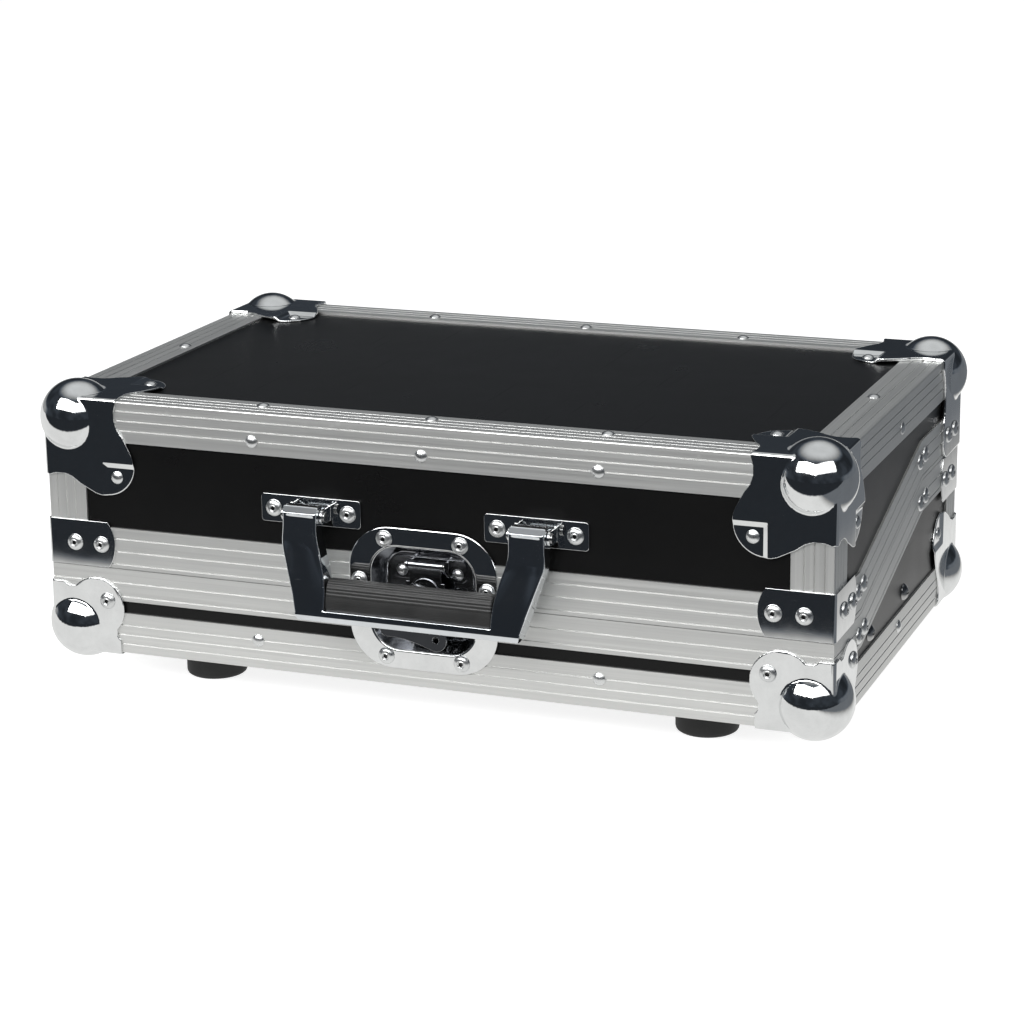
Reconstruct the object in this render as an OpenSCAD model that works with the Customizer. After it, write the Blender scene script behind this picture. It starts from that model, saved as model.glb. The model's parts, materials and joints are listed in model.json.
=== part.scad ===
// Flight case for a lighting controller: a low front wall, a tall back wall and a stepped, slanted
// parting line between base and lid. Laminated panels sit in grooved aluminium edge extrusions,
// pressed ball corners and braces close the corners, a recessed draw latch holds the front, and a
// drop handle hangs in front of it. Frame: X to the right, Y away from the handle, Z up. The
// origin is the middle of the bounding box on the plane that the feet stand on.

/* [Case] */
// Width over the edge extrusions
case_w = 578; // [520:1:680]
// Depth over the edge extrusions
case_d = 354; // [320:1:420]
// Height over the edge extrusions, without feet and balls
case_h = 186; // [180:1:230]
// Thickness of the laminated panels
panel_t = 7; // [5.5:0.5:8]

/* [Parting line] */
// Height of the parting line at the front wall
front_wall_h = 63; // [62:0.5:68]
// Share of the height above the front wall that the parting line climbs
climb = 0.39; // [0.36:0.01:0.42]
// Distance from the front face to the foot of the slope
slope_start = 68.5; // [68:0.5:78]
// Distance from the front face to the top of the slope
slope_end = 243; // [210:1:255]
// Gap between the base and the closed lid
parting_gap = 0.4; // [0.3:0.1:0.8]
// Hairline gap between the three lengths of a side's parting extrusion
seam_gap = 0.1; // [0.05:0.05:0.2]

/* [Edge extrusions] */
// Width of each leg of the edge extrusions
edge_leg = 30; // [29:0.5:32]
// Thickness of the outer legs
edge_wall = 1.6; // [1.4:0.1:2]
// Reach of the inner legs from the outer corner
inner_leg = 22; // [18:0.5:26]
// Thickness of the inner legs and webs
inner_wall = 1.2; // [1:0.1:1.5]
// Radius along the outer corner of the extrusions
arris_r = 1.2; // [0.6:0.1:1.4]
// Spacing of the fine grooves along the legs
groove_pitch = 7; // [6:0.5:8]
// Width of a fine groove
groove_w = 1; // [0.5:0.1:1.2]
// Depth of a fine groove
groove_depth = 0.6; // [0.3:0.1:0.7]
// Running clearance between a panel and its channel
channel_clear = 0.1; // [0.1:0.05:0.2]

/* [Parting extrusions] */
// Height of the lid's parting extrusion
lid_rim_h = 30; // [28:0.5:32]
// Height of the base's parting extrusion
base_rim_h = 24; // [22:0.5:25]
// Distance from the parting line to the panel stop
rim_stop = 6.4; // [6:0.1:7.5]
// Width of the tongue
tongue_w = 3.2; // [2.4:0.1:3.4]
// Height of the tongue
tongue_h = 4; // [2.5:0.5:4.5]
// Clearance on each side of the tongue in its groove
tongue_clear = 1; // [0.9:0.1:1.3]

/* [Ball corners] */
// Outer radius of the pressed ball
ball_r = 27; // [25.5:0.5:28]
// Distance from the case faces to the centre of the ball
ball_inset = 17; // [16:0.5:17.5]
// Thickness of the pressed corner plates
corner_t = 1.5; // [1:0.1:1.6]
// Thickness of the long corners behind
long_t = 2.6; // [1.8:0.1:2.8]
// Reach of a large corner along the case edge
large_reach = 57; // [54:0.5:60]
// Distance from the case edges to the centre of a large corner's lobe
lobe_at = 46.5; // [44:0.5:48]
// Radius of a large corner's lobe
lobe_r = 23; // [21:0.5:24]
// Distance from the case edges to the step around a large corner's rivet
step_at = 45; // [43:0.5:46]
// Distance from the case edges to a large corner's rivet
large_rivet_at = 55.5; // [54:0.5:57]
// Reach of a small corner along the case edge
small_reach = 53; // [51:0.5:55]
// Centre of a small corner's lobe along the floor edge
small_lobe_a = 35; // [33:0.5:36]
// Centre of a small corner's lobe above the floor edge
small_lobe_b = 33; // [31:0.5:34]
// Radius of a small corner's lobe
small_lobe_r = 22; // [20:0.5:23]

/* [Corner braces] */
// Length of a brace along each face
brace_len = 52; // [50:0.5:56]
// Height of a brace
brace_h = 33.5; // [31:0.5:34]
// Thickness of a brace
brace_t = 1.2; // [1:0.1:1.5]
// How far the rounded end of a brace bulges
brace_bulge = 5.6; // [3:0.2:7]
// Distance from the corner to the first brace rivet
brace_rivet_a = 20; // [16:0.5:22]
// Distance from the corner to the second brace rivet
brace_rivet_b = 41; // [38:0.5:43]

/* [Rivets and screws] */
// Radius of the plain rivet heads
dome_r = 4.6; // [3.5:0.1:5]
// Height of the plain rivet heads
dome_h = 2.2; // [1.5:0.1:2.6]
// Radius of the blind rivet heads
pop_r = 6; // [5:0.1:6.4]
// Height of the blind rivet heads
pop_h = 2.6; // [2:0.1:3]
// Radius of the hole in a blind rivet head
pop_hole_r = 1.5; // [1:0.1:2]
// Distance of the edge rivets from the case corner line
edge_rivet_at = 20.7; // [18:0.1:24]
// Spacing of the edge rivets along the width
edge_rivet_pitch = 127; // [110:1:135]
// Radius of the large screw heads on the base's side panels
side_screw_r = 6.4; // [5.5:0.1:6.6]
// Height of the large screw heads
side_screw_h = 3.8; // [3:0.1:4.5]
// Distance from the front face to the first side screw
side_screw_y = 100; // [90:1:110]
// Spacing of the two side screws
side_screw_pitch = 98; // [80:1:110]
// Drop of the side screws below the parting line, measured at the front one
side_screw_drop = 32; // [31.8:0.1:34]

/* [Feet] */
// Height of the feet below the case underside
foot_h = 25; // [15:1:30]
// Radius of a foot
foot_r = 22; // [16:0.5:24]
// Distance of the feet from the side faces
foot_inset = 102; // [89:1:140]
// Distance of the feet from the front and back faces
foot_y = 52.5; // [52.5:0.5:80]
// Radius of the screw recess in a foot
foot_recess_r = 9; // [7:0.5:11]
// Depth of the screw recess in a foot
foot_recess_h = 12; // [8:0.5:14]
// Radius of a foot screw's head
foot_screw_r = 6; // [4.5:0.1:6.5]

/* [Latch] */
// Half the width of the latch plate
plate_hw = 54.8; // [52:0.1:58]
// Half the height of the latch plate
plate_hh = 50.5; // [48:0.1:51]
// Corner radius of the latch plate
plate_r = 31; // [26:0.5:34]
// Thickness of the pressed latch dish
dish_t = 1.2; // [1:0.1:1.5]
// Half the width of the dish mouth
mouth_hw = 38.5; // [37:0.5:40]
// Half the height of the dish mouth
mouth_hh = 36.5; // [36:0.5:38]
// Corner radius of the dish mouth
mouth_r = 20; // [17:0.5:22]
// Depth of the dish floor behind the case face
dish_depth = 14; // [14:0.1:14.6]
// How much each dish wall leans inwards
dish_lean = 6; // [4:0.5:7]
// Clearance between the dish and the cut-outs behind it
dish_clear = 0.4; // [0.3:0.1:0.8]
// Height of the link's pin above the parting line
link_pin_up = 24; // [23:0.5:25]
// Depth of the link's pin behind the case face
link_pin_in = 4.25; // [4:0.05:4.4]
// Radius of the link's pin
link_pin_r = 1.5; // [1.2:0.1:1.7]
// Radius of the rolled eyes on the link
link_eye_r = 2.8; // [2.6:0.1:3]
// Radial clearance of every pin in its bore
pin_clear = 0.05; // [0.03:0.01:0.09]
// Half the width of the link plate
link_hw = 14.3; // [14:0.1:15]
// Thickness of the link and wing plates
link_t = 1.5; // [1.2:0.1:1.6]
// Drop of the wing's spindle below the parting line
spindle_drop = 13; // [12:0.5:13.5]
// Radius of the wing's spindle
spindle_r = 3; // [2.5:0.1:3.2]
// Throw of the eccentric on the spindle
throw = 2.5; // [2:0.1:2.6]
// Radius of the eccentric
eccentric_r = 6; // [5.8:0.1:6.4]
// Radius of the lobes at the ends of the wing
wing_lobe_r = 8; // [6:0.5:8.5]
// Sideways distance of a wing lobe from the spindle
wing_lobe_x = 9.7; // [7:0.1:11]
// Distance of a wing lobe below or above the spindle
wing_lobe_z = 13.5; // [12:0.1:14.5]
// Thickness of the hook and keeper plates
hook_t = 1.5; // [1.2:0.1:1.6]

/* [Handle] */
// Sideways distance of each handle bracket from the middle
bracket_x = 83; // [80:0.5:88]
// Height of the handle's pins above the parting line
handle_up = 56.5; // [54:0.5:60]
// Width of a handle bracket
bracket_w = 75; // [70:0.5:80]
// Height of a handle bracket
bracket_h = 20; // [18:0.5:22]
// Thickness of a handle bracket
bracket_t = 2; // [1.6:0.1:2.4]
// Sideways distance of the bracket rivets from its middle
bracket_rivet = 28; // [27:0.1:30]
// Distance of the handle's pins in front of the case face
pin_out = 11; // [10.6:0.1:12]
// Radius of the handle's pins
handle_pin_r = 2.5; // [2:0.1:3]
// Width of an arm at its head
arm_w = 25.5; // [24:0.5:27]
// Height of an arm's head above its pin
head_up = 7.5; // [6:0.5:8]
// Height of the handle from its pins to its lowest edge
handle_drop = 72.5; // [69:0.5:77]
// Drop of the bend in the arms below the pins
elbow_drop = 18; // [14:0.5:22]
// Half the width over the arms at the bend
elbow_hw = 97; // [96:0.5:100]
// Half the width over the lower bar
foot_hw = 79.5; // [77:0.5:84]
// Height of the lower bar
bar_h = 8; // [7:0.5:10]
// Reach of the lower bar in front of the pins
bar_out = 22; // [17:0.5:24]
// Depth of the trough pressed into the front of the arms
trough = 1.2; // [0.6:0.1:3]
// Width of the rim around the trough
trough_rim = 3; // [1.4:0.1:4]
// Depth of the recess along the front of the lower bar
bar_recess = 1.2; // [0.5:0.1:2]
// Length of the grip
grip_len = 121.6; // [110:0.1:124]
// Height of the grip above the lower bar
grip_h = 23; // [20:0.5:25]
// Depth of the grip from front to back
grip_depth = 16; // [14:0.5:17]
// Radius of a rib on the grip
rib_r = 0.7; // [0.4:0.1:0.8]

/* [Hinges] */
// Sideways distance of the hinges from the middle
hinge_x = 150; // [120:1:170]
// Width of a hinge
hinge_w = 64; // [60:1:80]
// Radius of the hinge knuckles
knuckle_r = 3.7; // [3.4:0.1:3.8]
// Distance of the hinge pin behind the case face
hinge_out = 4; // [4:0.1:4.6]
// Radius of the hinge pins
hinge_pin_r = 2; // [1.6:0.1:2.2]
// Thickness of the hinge leaves
leaf_t = 1.8; // [1.4:0.1:2]
// Gap between neighbouring knuckles
knuckle_gap = 0.4; // [0.3:0.1:0.6]
// Height of a hinge leaf away from the pin
leaf_h = 22; // [20:0.5:23]

/* [Lining] */
// Thickness of the foam lining
foam_t = 20; // [12:1:26]
// Gap between the foam and the extrusions behind it
foam_gap = 0.2; // [0.1:0.05:0.3]
// Distance of the foam's rim from the parting line
foam_rim = 1; // [0.5:0.1:2]

/* [Hidden] */
$fn = 64;

black = [0.10, 0.10, 0.10];
aluminium = [0.72, 0.73, 0.72];
chrome = [0.85, 0.86, 0.87];
dark_chrome = [0.35, 0.35, 0.36];
foam_grey = [0.20, 0.20, 0.21];
rubber = [0.07, 0.07, 0.07];
charcoal = [0.16, 0.16, 0.17];

big = 2000;
tiny = 0.01;

// Heights and angle of the parting line
parting_front = front_wall_h;
parting_back = front_wall_h + climb * (case_h - front_wall_h);
slope_angle = atan2(parting_back - parting_front, slope_end - slope_start);
half_gap = parting_gap / 2;
brace_edge = half_gap + 0.2;

// Panel and channel places, counted from the case faces
slot = edge_wall + panel_t;
panel_in = slot + inner_wall + channel_clear;
foam_in = slot + inner_wall + foam_gap;
corner_cut = 10;

// Reach of the whole object, for the origin
ball_out = ball_r - ball_inset;
handle_reach = pin_out + bar_out;
shift_y = -(case_d + ball_out - handle_reach) / 2;

// Moves the case from its front lower corner line to the part's origin
module placed() {
    translate([0, shift_y, foot_h]) children();
}

module both_sides() {
    children();
    mirror([1, 0, 0]) children();
}

// The lower front left corner's work, repeated for the four corners of one level
module four_corners() {
    both_sides() {
        children();
        translate([0, case_d, 0]) mirror([0, 1, 0]) children();
    }
}

// Turns work done at the underside of the case upside down to the top
module at_top() {
    translate([0, 0, case_h]) mirror([0, 0, 1]) children();
}

module at_back() {
    translate([0, case_d, 0]) mirror([0, 1, 0]) children();
}

// A prism from an outline in X and Z, from front_y to back_y
module from_front(front_y, back_y) {
    translate([0, back_y, 0]) rotate([90, 0, 0]) linear_extrude(back_y - front_y) children();
}

// A prism from an outline in Y and Z, from left_x to right_x
module from_side(left_x, right_x) {
    translate([left_x, 0, 0]) rotate([90, 0, 90]) linear_extrude(right_x - left_x) children();
}

// Point of the parting line's bend p, moved square off the line by o
function bend(p, o) = [p[0] - o * tan(slope_angle / 2), p[1] + o];
bend_low = [slope_start, parting_front];
bend_high = [slope_end, parting_back];

// The parting line between two depths, moved square off itself by o
function parting(o, y0, y1) = [
    [y0, parting_front + o], bend(bend_low, o), bend(bend_high, o), [y1, parting_back + o]];

function reversed(a) = [for (i = [len(a) - 1 : -1 : 0]) a[i]];

// Rounded rectangle with true round corners
module round_rect(hw, hh, r) {
    square([2 * hw, 2 * (hh - r)], center = true);
    square([2 * (hw - r), 2 * hh], center = true);
    for (x = [-1, 1], y = [-1, 1]) {
        translate([x * (hw - r), y * (hh - r)]) circle(r);
    }
}

// Section of a fine V groove in the face on Y = 0, at the distance c along it
module groove(c) {
    polygon([[c - groove_w / 2, -1], [c + groove_w / 2, -1], [c + groove_w / 2, 0],
        [c, groove_depth], [c - groove_w / 2, 0]]);
}

// Section of the edge extrusion: outer angle, inner angle and the webs that stop the panels
module edge_profile() {
    difference() {
        union() {
            difference() {
                square(edge_leg);
                translate([edge_wall, edge_wall]) square(edge_leg);
            }
            difference() {
                translate([slot, slot]) square(inner_leg - slot);
                translate([slot + inner_wall, slot + inner_wall]) square(inner_leg);
            }
            translate([edge_wall - tiny, slot]) square([panel_t + inner_wall, inner_wall]);
            translate([slot, edge_wall - tiny]) square([inner_wall, panel_t + inner_wall]);
        }
        for (i = [1 : 3]) {
            groove(i * groove_pitch);
            mirror([1, -1]) groove(i * groove_pitch);
        }
        difference() {
            translate([-1, -1]) square(1 + arris_r);
            translate([arris_r, arris_r]) circle(arris_r);
        }
    }
}

// Region between the two 45 degree mitres at the ends of a length
module mitre_field(length) {
    m = edge_leg + 5;
    polygon([[-1, -1], [length + 1, -1], [length - m, m], [m, m]]);
}

// Edge extrusion along the width, its outer corner on the line Y = 0, Z = 0
module edge_along_x() {
    intersection() {
        from_side(corner_cut - case_w / 2, case_w / 2 - corner_cut) edge_profile();
        translate([-case_w / 2, 0, -1]) linear_extrude(edge_leg + 5) mitre_field(case_w);
        translate([-case_w / 2, 0, 0]) from_front(-1, edge_leg + 5) mitre_field(case_w);
    }
}

// Edge extrusion along the depth, its outer corner on the line X = -case_w / 2, Z = 0
module edge_along_y() {
    translate([-case_w / 2, 0, 0]) intersection() {
        from_front(corner_cut, case_d - corner_cut) edge_profile();
        translate([0, 0, -1]) linear_extrude(edge_leg + 5)
            translate([0, case_d]) rotate(-90) mitre_field(case_d);
        from_side(-1, edge_leg + 5) mitre_field(case_d);
    }
}

// Upright corner extrusion of height h, mitred at its foot to the two edges that it meets
module corner_post(h) {
    m = edge_leg + 5;
    translate([-case_w / 2, 0, 0]) difference() {
        translate([0, 0, corner_cut]) linear_extrude(h - corner_cut) edge_profile();
        from_front(-1, m) polygon([[-1, -1], [m, m], [m, -1]]);
        from_side(-1, m) polygon([[-1, -1], [m, m], [m, -1]]);
    }
}

// Sections of the parting extrusions: depth from the case face, height off the parting line
tongue_at = slot / 2 + edge_wall / 2;

module lid_rim_profile() {
    rim_in = slot + inner_wall;
    difference() {
        union() {
            translate([0, half_gap]) square([edge_wall, lid_rim_h - half_gap]);
            translate([0, half_gap]) square([rim_in, inner_wall]);
            translate([0, rim_stop - inner_wall]) square([rim_in, inner_wall]);
            translate([slot, half_gap]) square([inner_wall, inner_leg - half_gap]);
            translate([tongue_at - tongue_w / 2, -tongue_h]) square([tongue_w, tongue_h + 1]);
        }
        for (z = [3.3, 12.7, 22.1]) {
            mirror([1, -1]) groove(z);
        }
    }
}

module base_rim_profile() {
    rim_in = slot + inner_wall;
    groove_in = tongue_w + 2 * tongue_clear;
    floor_z = -rim_stop + inner_wall;
    difference() {
        union() {
            translate([0, -base_rim_h]) square([edge_wall, base_rim_h - half_gap]);
            translate([0, -rim_stop]) square([rim_in, inner_wall]);
            translate([slot, -inner_leg + 4]) square([inner_wall, inner_leg - 4 - half_gap]);
            translate([edge_wall - tiny, floor_z - tiny]) square([
                tongue_at - groove_in / 2 - edge_wall, rim_stop - inner_wall - half_gap]);
            translate([tongue_at + groove_in / 2, floor_z - tiny]) square([
                rim_in - tongue_at - groove_in / 2, rim_stop - inner_wall - half_gap]);
        }
        for (z = [-10.4, -20.5]) {
            mirror([1, -1]) groove(z);
        }
    }
}

// Straight rim along the front, at the height of the front parting line
module rim_along_x(z) {
    m = edge_leg + 5;
    intersection() {
        translate([0, 0, z]) from_side(-case_w / 2, case_w / 2) children();
        translate([-case_w / 2, 0, 0]) linear_extrude(big) mitre_field(case_w);
    }
}

// The three runs of the left rim: front, slope and back, seamed at the bends
module rim_along_y() {
    reach = 45;
    start = [[-reach, parting_front], bend_low, bend_high];
    lean = [0, slope_angle, 0];
    ends = [[0, parting_front], bend_low, bend_high, [case_d, parting_back]];
    bent = [0, 1, 1, 0];
    function seam(i, o, gap) = bent[i] == 1 ? bend(ends[i], o) + [gap, 0] : ends[i] + [0, o];
    g = seam_gap / 2;
    translate([-case_w / 2, 0, 0]) intersection() {
        for (i = [0 : 2]) {
            intersection() {
                translate([0, start[i][0], start[i][1]]) rotate([lean[i], 0, 0])
                    translate([0, -reach, 0]) from_front(0, case_d) children();
                from_side(-1, edge_leg) polygon([seam(i, reach, g), seam(i, -reach, g),
                    seam(i + 1, -reach, -g), seam(i + 1, reach, -g)]);
            }
        }
        linear_extrude(big) translate([0, case_d]) rotate(-90) mitre_field(case_d);
    }
}

// Cut-out for the latch dish through everything behind the front face
module dish_cutter() {
    translate([0, 0, parting_front]) from_front(-5, dish_depth + dish_t + dish_clear)
        round_rect(mouth_hw + dish_t + dish_clear, mouth_hh + dish_t + dish_clear, mouth_r + dish_t);
}

// Panels

module lid_top_panel() color(black) placed() {
    translate([panel_in - case_w / 2, panel_in, case_h - slot])
        cube([case_w - 2 * panel_in, case_d - 2 * panel_in, panel_t]);
}

module base_bottom_panel() color(black) placed() {
    translate([panel_in - case_w / 2, panel_in, edge_wall])
        cube([case_w - 2 * panel_in, case_d - 2 * panel_in, panel_t]);
}

// Upright panel across the width, from z0 to z1, just inside the front extrusions
module panel_across(z0, z1) {
    translate([panel_in - case_w / 2, edge_wall, z0])
        cube([case_w - 2 * panel_in, panel_t, z1 - z0]);
}

module lid_front_panel() color(black) placed() {
    difference() {
        panel_across(parting_front + rim_stop + channel_clear, case_h - panel_in);
        dish_cutter();
    }
}

module lid_back_panel() color(black) placed() {
    at_back() panel_across(parting_back + rim_stop + channel_clear, case_h - panel_in);
}

module base_front_panel() color(black) placed() {
    difference() {
        panel_across(panel_in, parting_front - rim_stop - channel_clear);
        dish_cutter();
    }
}

module base_back_panel() color(black) placed() {
    at_back() panel_across(panel_in, parting_back - rim_stop - channel_clear);
}

module lid_side_panels() color(black) placed() {
    o = rim_stop + channel_clear;
    y0 = panel_in;
    y1 = case_d - panel_in;
    both_sides() from_side(case_w / 2 - slot, case_w / 2 - edge_wall)
        polygon(concat(parting(o, y0, y1), [[y1, case_h - panel_in], [y0, case_h - panel_in]]));
}

module base_side_panels() color(black) placed() {
    o = -rim_stop - channel_clear;
    y0 = panel_in;
    y1 = case_d - panel_in;
    both_sides() from_side(case_w / 2 - slot, case_w / 2 - edge_wall)
        polygon(concat(parting(o, y0, y1), [[y1, panel_in], [y0, panel_in]]));
}

// Edge extrusions

module lid_front_edge() color(aluminium) placed() at_top() edge_along_x();

module lid_back_edge() color(aluminium) placed() at_back() at_top() edge_along_x();

module lid_left_edge() color(aluminium) placed() at_top() edge_along_y();

module lid_right_edge() color(aluminium) placed() mirror([1, 0, 0]) at_top() edge_along_y();

module lid_corner_posts() color(aluminium) placed() both_sides() {
    at_top() corner_post(case_h - parting_front - lid_rim_h);
    at_back() at_top() corner_post(case_h - parting_back - lid_rim_h);
}

module base_front_edge() color(aluminium) placed() difference() {
    edge_along_x();
    dish_cutter();
}

module base_back_edge() color(aluminium) placed() at_back() edge_along_x();

module base_left_edge() color(aluminium) placed() edge_along_y();

module base_right_edge() color(aluminium) placed() mirror([1, 0, 0]) edge_along_y();

module base_corner_posts() color(aluminium) placed() both_sides() {
    corner_post(parting_front - base_rim_h);
    at_back() corner_post(parting_back - base_rim_h);
}

// Parting extrusions

module lid_front_rim() color(aluminium) placed() difference() {
    rim_along_x(parting_front) lid_rim_profile();
    dish_cutter();
}

module lid_back_rim() color(aluminium) placed() at_back() rim_along_x(parting_back) lid_rim_profile();

module lid_left_rim() color(aluminium) placed() rim_along_y() lid_rim_profile();

module lid_right_rim() color(aluminium) placed() mirror([1, 0, 0]) rim_along_y() lid_rim_profile();

module base_front_rim() color(aluminium) placed() difference() {
    rim_along_x(parting_front) base_rim_profile();
    dish_cutter();
}

module base_back_rim() color(aluminium) placed() at_back() rim_along_x(parting_back) base_rim_profile();

module base_left_rim() color(aluminium) placed() rim_along_y() base_rim_profile();

module base_right_rim() color(aluminium) placed() mirror([1, 0, 0]) rim_along_y() base_rim_profile();

// Ball corners: three plates and a hollow ball, pressed from one sheet

// Where a line from point q touches the circle round c with radius r
function touch(q, c, r, side) = let (
    d = norm(c - q),
    a = atan2(c[1] - q[1], c[0] - q[0]),
    b = asin(r / d) * side,
    l = sqrt(d * d - r * r)) q + l * [cos(a + b), sin(a + b)];

// Outline of a large corner's plate, from the case corner along two case edges
module large_outline() {
    waist = 55.5;
    waist_at = 14;
    centre = [lobe_at, lobe_at];
    low = touch([waist, waist_at], centre, lobe_r, -1);
    high = [low[1], low[0]];
    difference() {
        union() {
            polygon([[-corner_t, -corner_t], [large_reach, -corner_t], [large_reach, 4],
                [waist, waist_at], low, centre, high, [waist_at, waist],
                [4, large_reach], [-corner_t, large_reach]]);
            translate(centre) circle(lobe_r);
        }
        translate([waist + 20, waist_at - 3]) circle(20);
        translate([waist_at - 3, waist + 20]) circle(20);
    }
}

// Outline of a small corner's plate, a along the floor edge and b up
module small_outline() {
    waist = 50.5;
    waist_at = 14;
    difference() {
        union() {
            translate([-corner_t, -corner_t]) square([waist + corner_t, waist - 3 + corner_t]);
            translate([-corner_t, -corner_t]) square([small_reach + corner_t, waist_at]);
            translate([-corner_t, -corner_t]) square([waist_at, small_reach - 3 + corner_t]);
            translate([small_lobe_a, small_lobe_b]) circle(small_lobe_r);
        }
        translate([waist + 7, waist_at + 1]) circle(7);
        translate([waist_at + 1, waist + 4]) circle(7);
    }
}

// The soft turn where the ball runs out into a plate of thickness t on Z = 0
module ball_fillet(t) {
    fillet_r = 3;
    rise = ball_inset + t;
    ring = sqrt(pow(ball_r + fillet_r, 2) - pow(rise + fillet_r, 2));
    k = ball_r / (ball_r + fillet_r);
    inner = sqrt(pow(ball_r, 2) - pow(rise, 2));
    difference() {
        translate([ball_inset, ball_inset, 0]) rotate_extrude() difference() {
            polygon([[ring, -t + 0.2], [ring, -t],
                [ring * k, ball_inset - (rise + fillet_r) * k], [inner - 0.8, -t + 0.2]]);
            translate([ring, -t - fillet_r]) circle(fillet_r);
        }
        translate([-40, -40, -10]) cube([41, 100, 20]);
        translate([-40, -40, -10]) cube([100, 41, 20]);
        translate([-9, -9, -10]) cube([ball_inset + 9, ball_inset + 9, 20]);
    }
}

// Carries work done on the corner's Z = 0 face to one of its three faces
module on_corner_face(turn) {
    if (turn == 0) {
        children();
    } else if (turn == 1) {
        mirror([0, 1, 0]) rotate([90, 0, 0]) children();
    } else {
        rotate([90, 0, 90]) children();
    }
}

// Plate of thickness t on one corner face, left open where the ball bulges through
module corner_plate(turn, t) {
    on_corner_face(turn) translate([0, 0, -t]) linear_extrude(t) children();
}

// Rounds the three outer edges of plates of thickness t
module edge_rounding(t) {
    r = t + 1;
    module bar() {
        translate([0, 0, -9]) linear_extrude(120) difference() {
            translate([-t - 1, -t - 1]) square(r + 1);
            translate([r - t, r - t]) circle(r);
        }
    }
    for (turn = [0 : 2]) {
        on_corner_face(turn) bar();
    }
}

// Turns three plates (the children) into a corner with a hollow ball; the case fills the space
// where X, Y and Z are positive, except for its cut-off tip
module pressed_corner(t) {
    centre = [ball_inset, ball_inset, ball_inset];
    difference() {
        union() {
            difference() {
                children();
                edge_rounding(t);
                translate([-9, -9, -9]) cube(ball_inset + 9);
            }
            translate(centre) sphere(ball_r);
            for (turn = [0 : 2]) {
                on_corner_face(turn) ball_fillet(t);
            }
        }
        translate(centre) sphere(ball_r - corner_t);
        difference() {
            cube(120);
            translate([-1, -1, -1]) cube(corner_cut);
        }
    }
}

// Takes the plate away under a large corner's rivet and puts the stepped-in pad there, on Z = 0
module rivet_pad(t) {
    run = 3.5;
    low = edge_wall - corner_t;
    difference() {
        translate([0, 0, -t]) linear_extrude(t + edge_wall) intersection() {
            large_outline();
            translate([step_at - 1, step_at - 1]) square(90);
        }
        intersection() {
            from_front(0, 90) pad_ramp(t, run, low);
            from_side(0, 90) pad_ramp(t, run, low);
        }
        from_front(0, 90) pad_back(run);
        from_side(0, 90) pad_back(run);
    }
}

module pad_ramp(t, run, low) {
    polygon([[step_at, -t - 1], [step_at, -t], [step_at + run, low], [90, low], [90, -t - 1]]);
}

module pad_back(run) {
    polygon([[step_at - 2, edge_wall + 1], [step_at - 2, 0], [step_at - 1, 0],
        [step_at + run - 1, edge_wall], [step_at + run - 1, edge_wall + 1]]);
}

// Large corner: three lobes, each with a pad for its rivet
module large_corner() {
    difference() {
        pressed_corner(corner_t) for (turn = [0 : 2]) {
            corner_plate(turn, corner_t) large_outline();
        }
        for (turn = [0 : 2]) {
            on_corner_face(turn) translate([step_at - 1, step_at - 1, -5]) cube(90);
        }
    }
    for (turn = [0 : 2]) {
        on_corner_face(turn) rivet_pad(corner_t);
    }
}

module small_corner() {
    pressed_corner(corner_t) {
        corner_plate(0, corner_t) small_outline();
        corner_plate(1, corner_t) small_outline();
        corner_plate(2, corner_t) small_outline();
    }
}

// Outline of a long corner's upright plates: a along the top edge, c down to the parting line
module long_outline() {
    long = case_h - parting_back - brace_edge;
    end_r = 12;
    width = large_reach - 3.5;
    difference() {
        union() {
            translate([-long_t, -long_t]) square([large_reach + long_t, 12 + long_t]);
            translate([-long_t, -long_t]) square([width + long_t, long - end_r + long_t]);
            translate([-long_t, -long_t]) square([width - end_r + long_t, long + long_t]);
            translate([width - end_r, long - end_r]) circle(end_r);
        }
        translate([width + 41.5, 30]) circle(45, $fn = 96);
    }
}

// Long corner: a lobe on the top face, the two upright plates reach down to the parting line
module long_corner() {
    difference() {
        pressed_corner(long_t) {
            corner_plate(0, long_t) large_outline();
            corner_plate(1, long_t) long_outline();
            corner_plate(2, long_t) long_outline();
        }
        translate([step_at - 1, step_at - 1, -5]) cube(90);
    }
    rivet_pad(long_t);
}

module lid_front_corners() color(chrome) placed() both_sides()
    at_top() translate([-case_w / 2, 0, 0]) large_corner();

module lid_back_corners() color(chrome) placed() both_sides()
    at_back() at_top() translate([-case_w / 2, 0, 0]) long_corner();

module base_back_corners() color(chrome) placed() both_sides()
    at_back() translate([-case_w / 2, 0, 0]) large_corner();

module base_front_corners() color(chrome) placed() both_sides()
    translate([-case_w / 2, 0, 0]) small_corner();

// Braces bent round the corners next to the parting line; z0 is the lower edge

module brace(z0) {
    bulge_r = (pow(brace_h / 2, 2) + pow(brace_bulge, 2)) / (2 * brace_bulge);
    module side_outline() {
        intersection() {
            translate([-brace_t, z0]) square([brace_len + brace_t, brace_h]);
            union() {
                translate([-brace_t, z0]) square([brace_len - brace_bulge, brace_h]);
                translate([brace_len - bulge_r, z0 + brace_h / 2]) circle(bulge_r, $fn = 96);
            }
        }
    }
    translate([-case_w / 2, 0, 0]) difference() {
        union() {
            from_front(-brace_t, 0) side_outline();
            from_side(-brace_t, 0) side_outline();
        }
        translate([0, 0, z0 - 1]) linear_extrude(brace_h + 2) difference() {
            translate([-brace_t - 1, -brace_t - 1]) square(brace_t + 2);
            translate([1, 1]) circle(brace_t + 1);
        }
    }
}

module lid_corner_braces() color(chrome) placed() both_sides()
    brace(parting_front + brace_edge);

module base_corner_braces() color(chrome) placed() both_sides()
    at_back() brace(parting_back - brace_edge - brace_h);

// Rivets: each place is [face, along, up or across, height of its seat above the case face]

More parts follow.
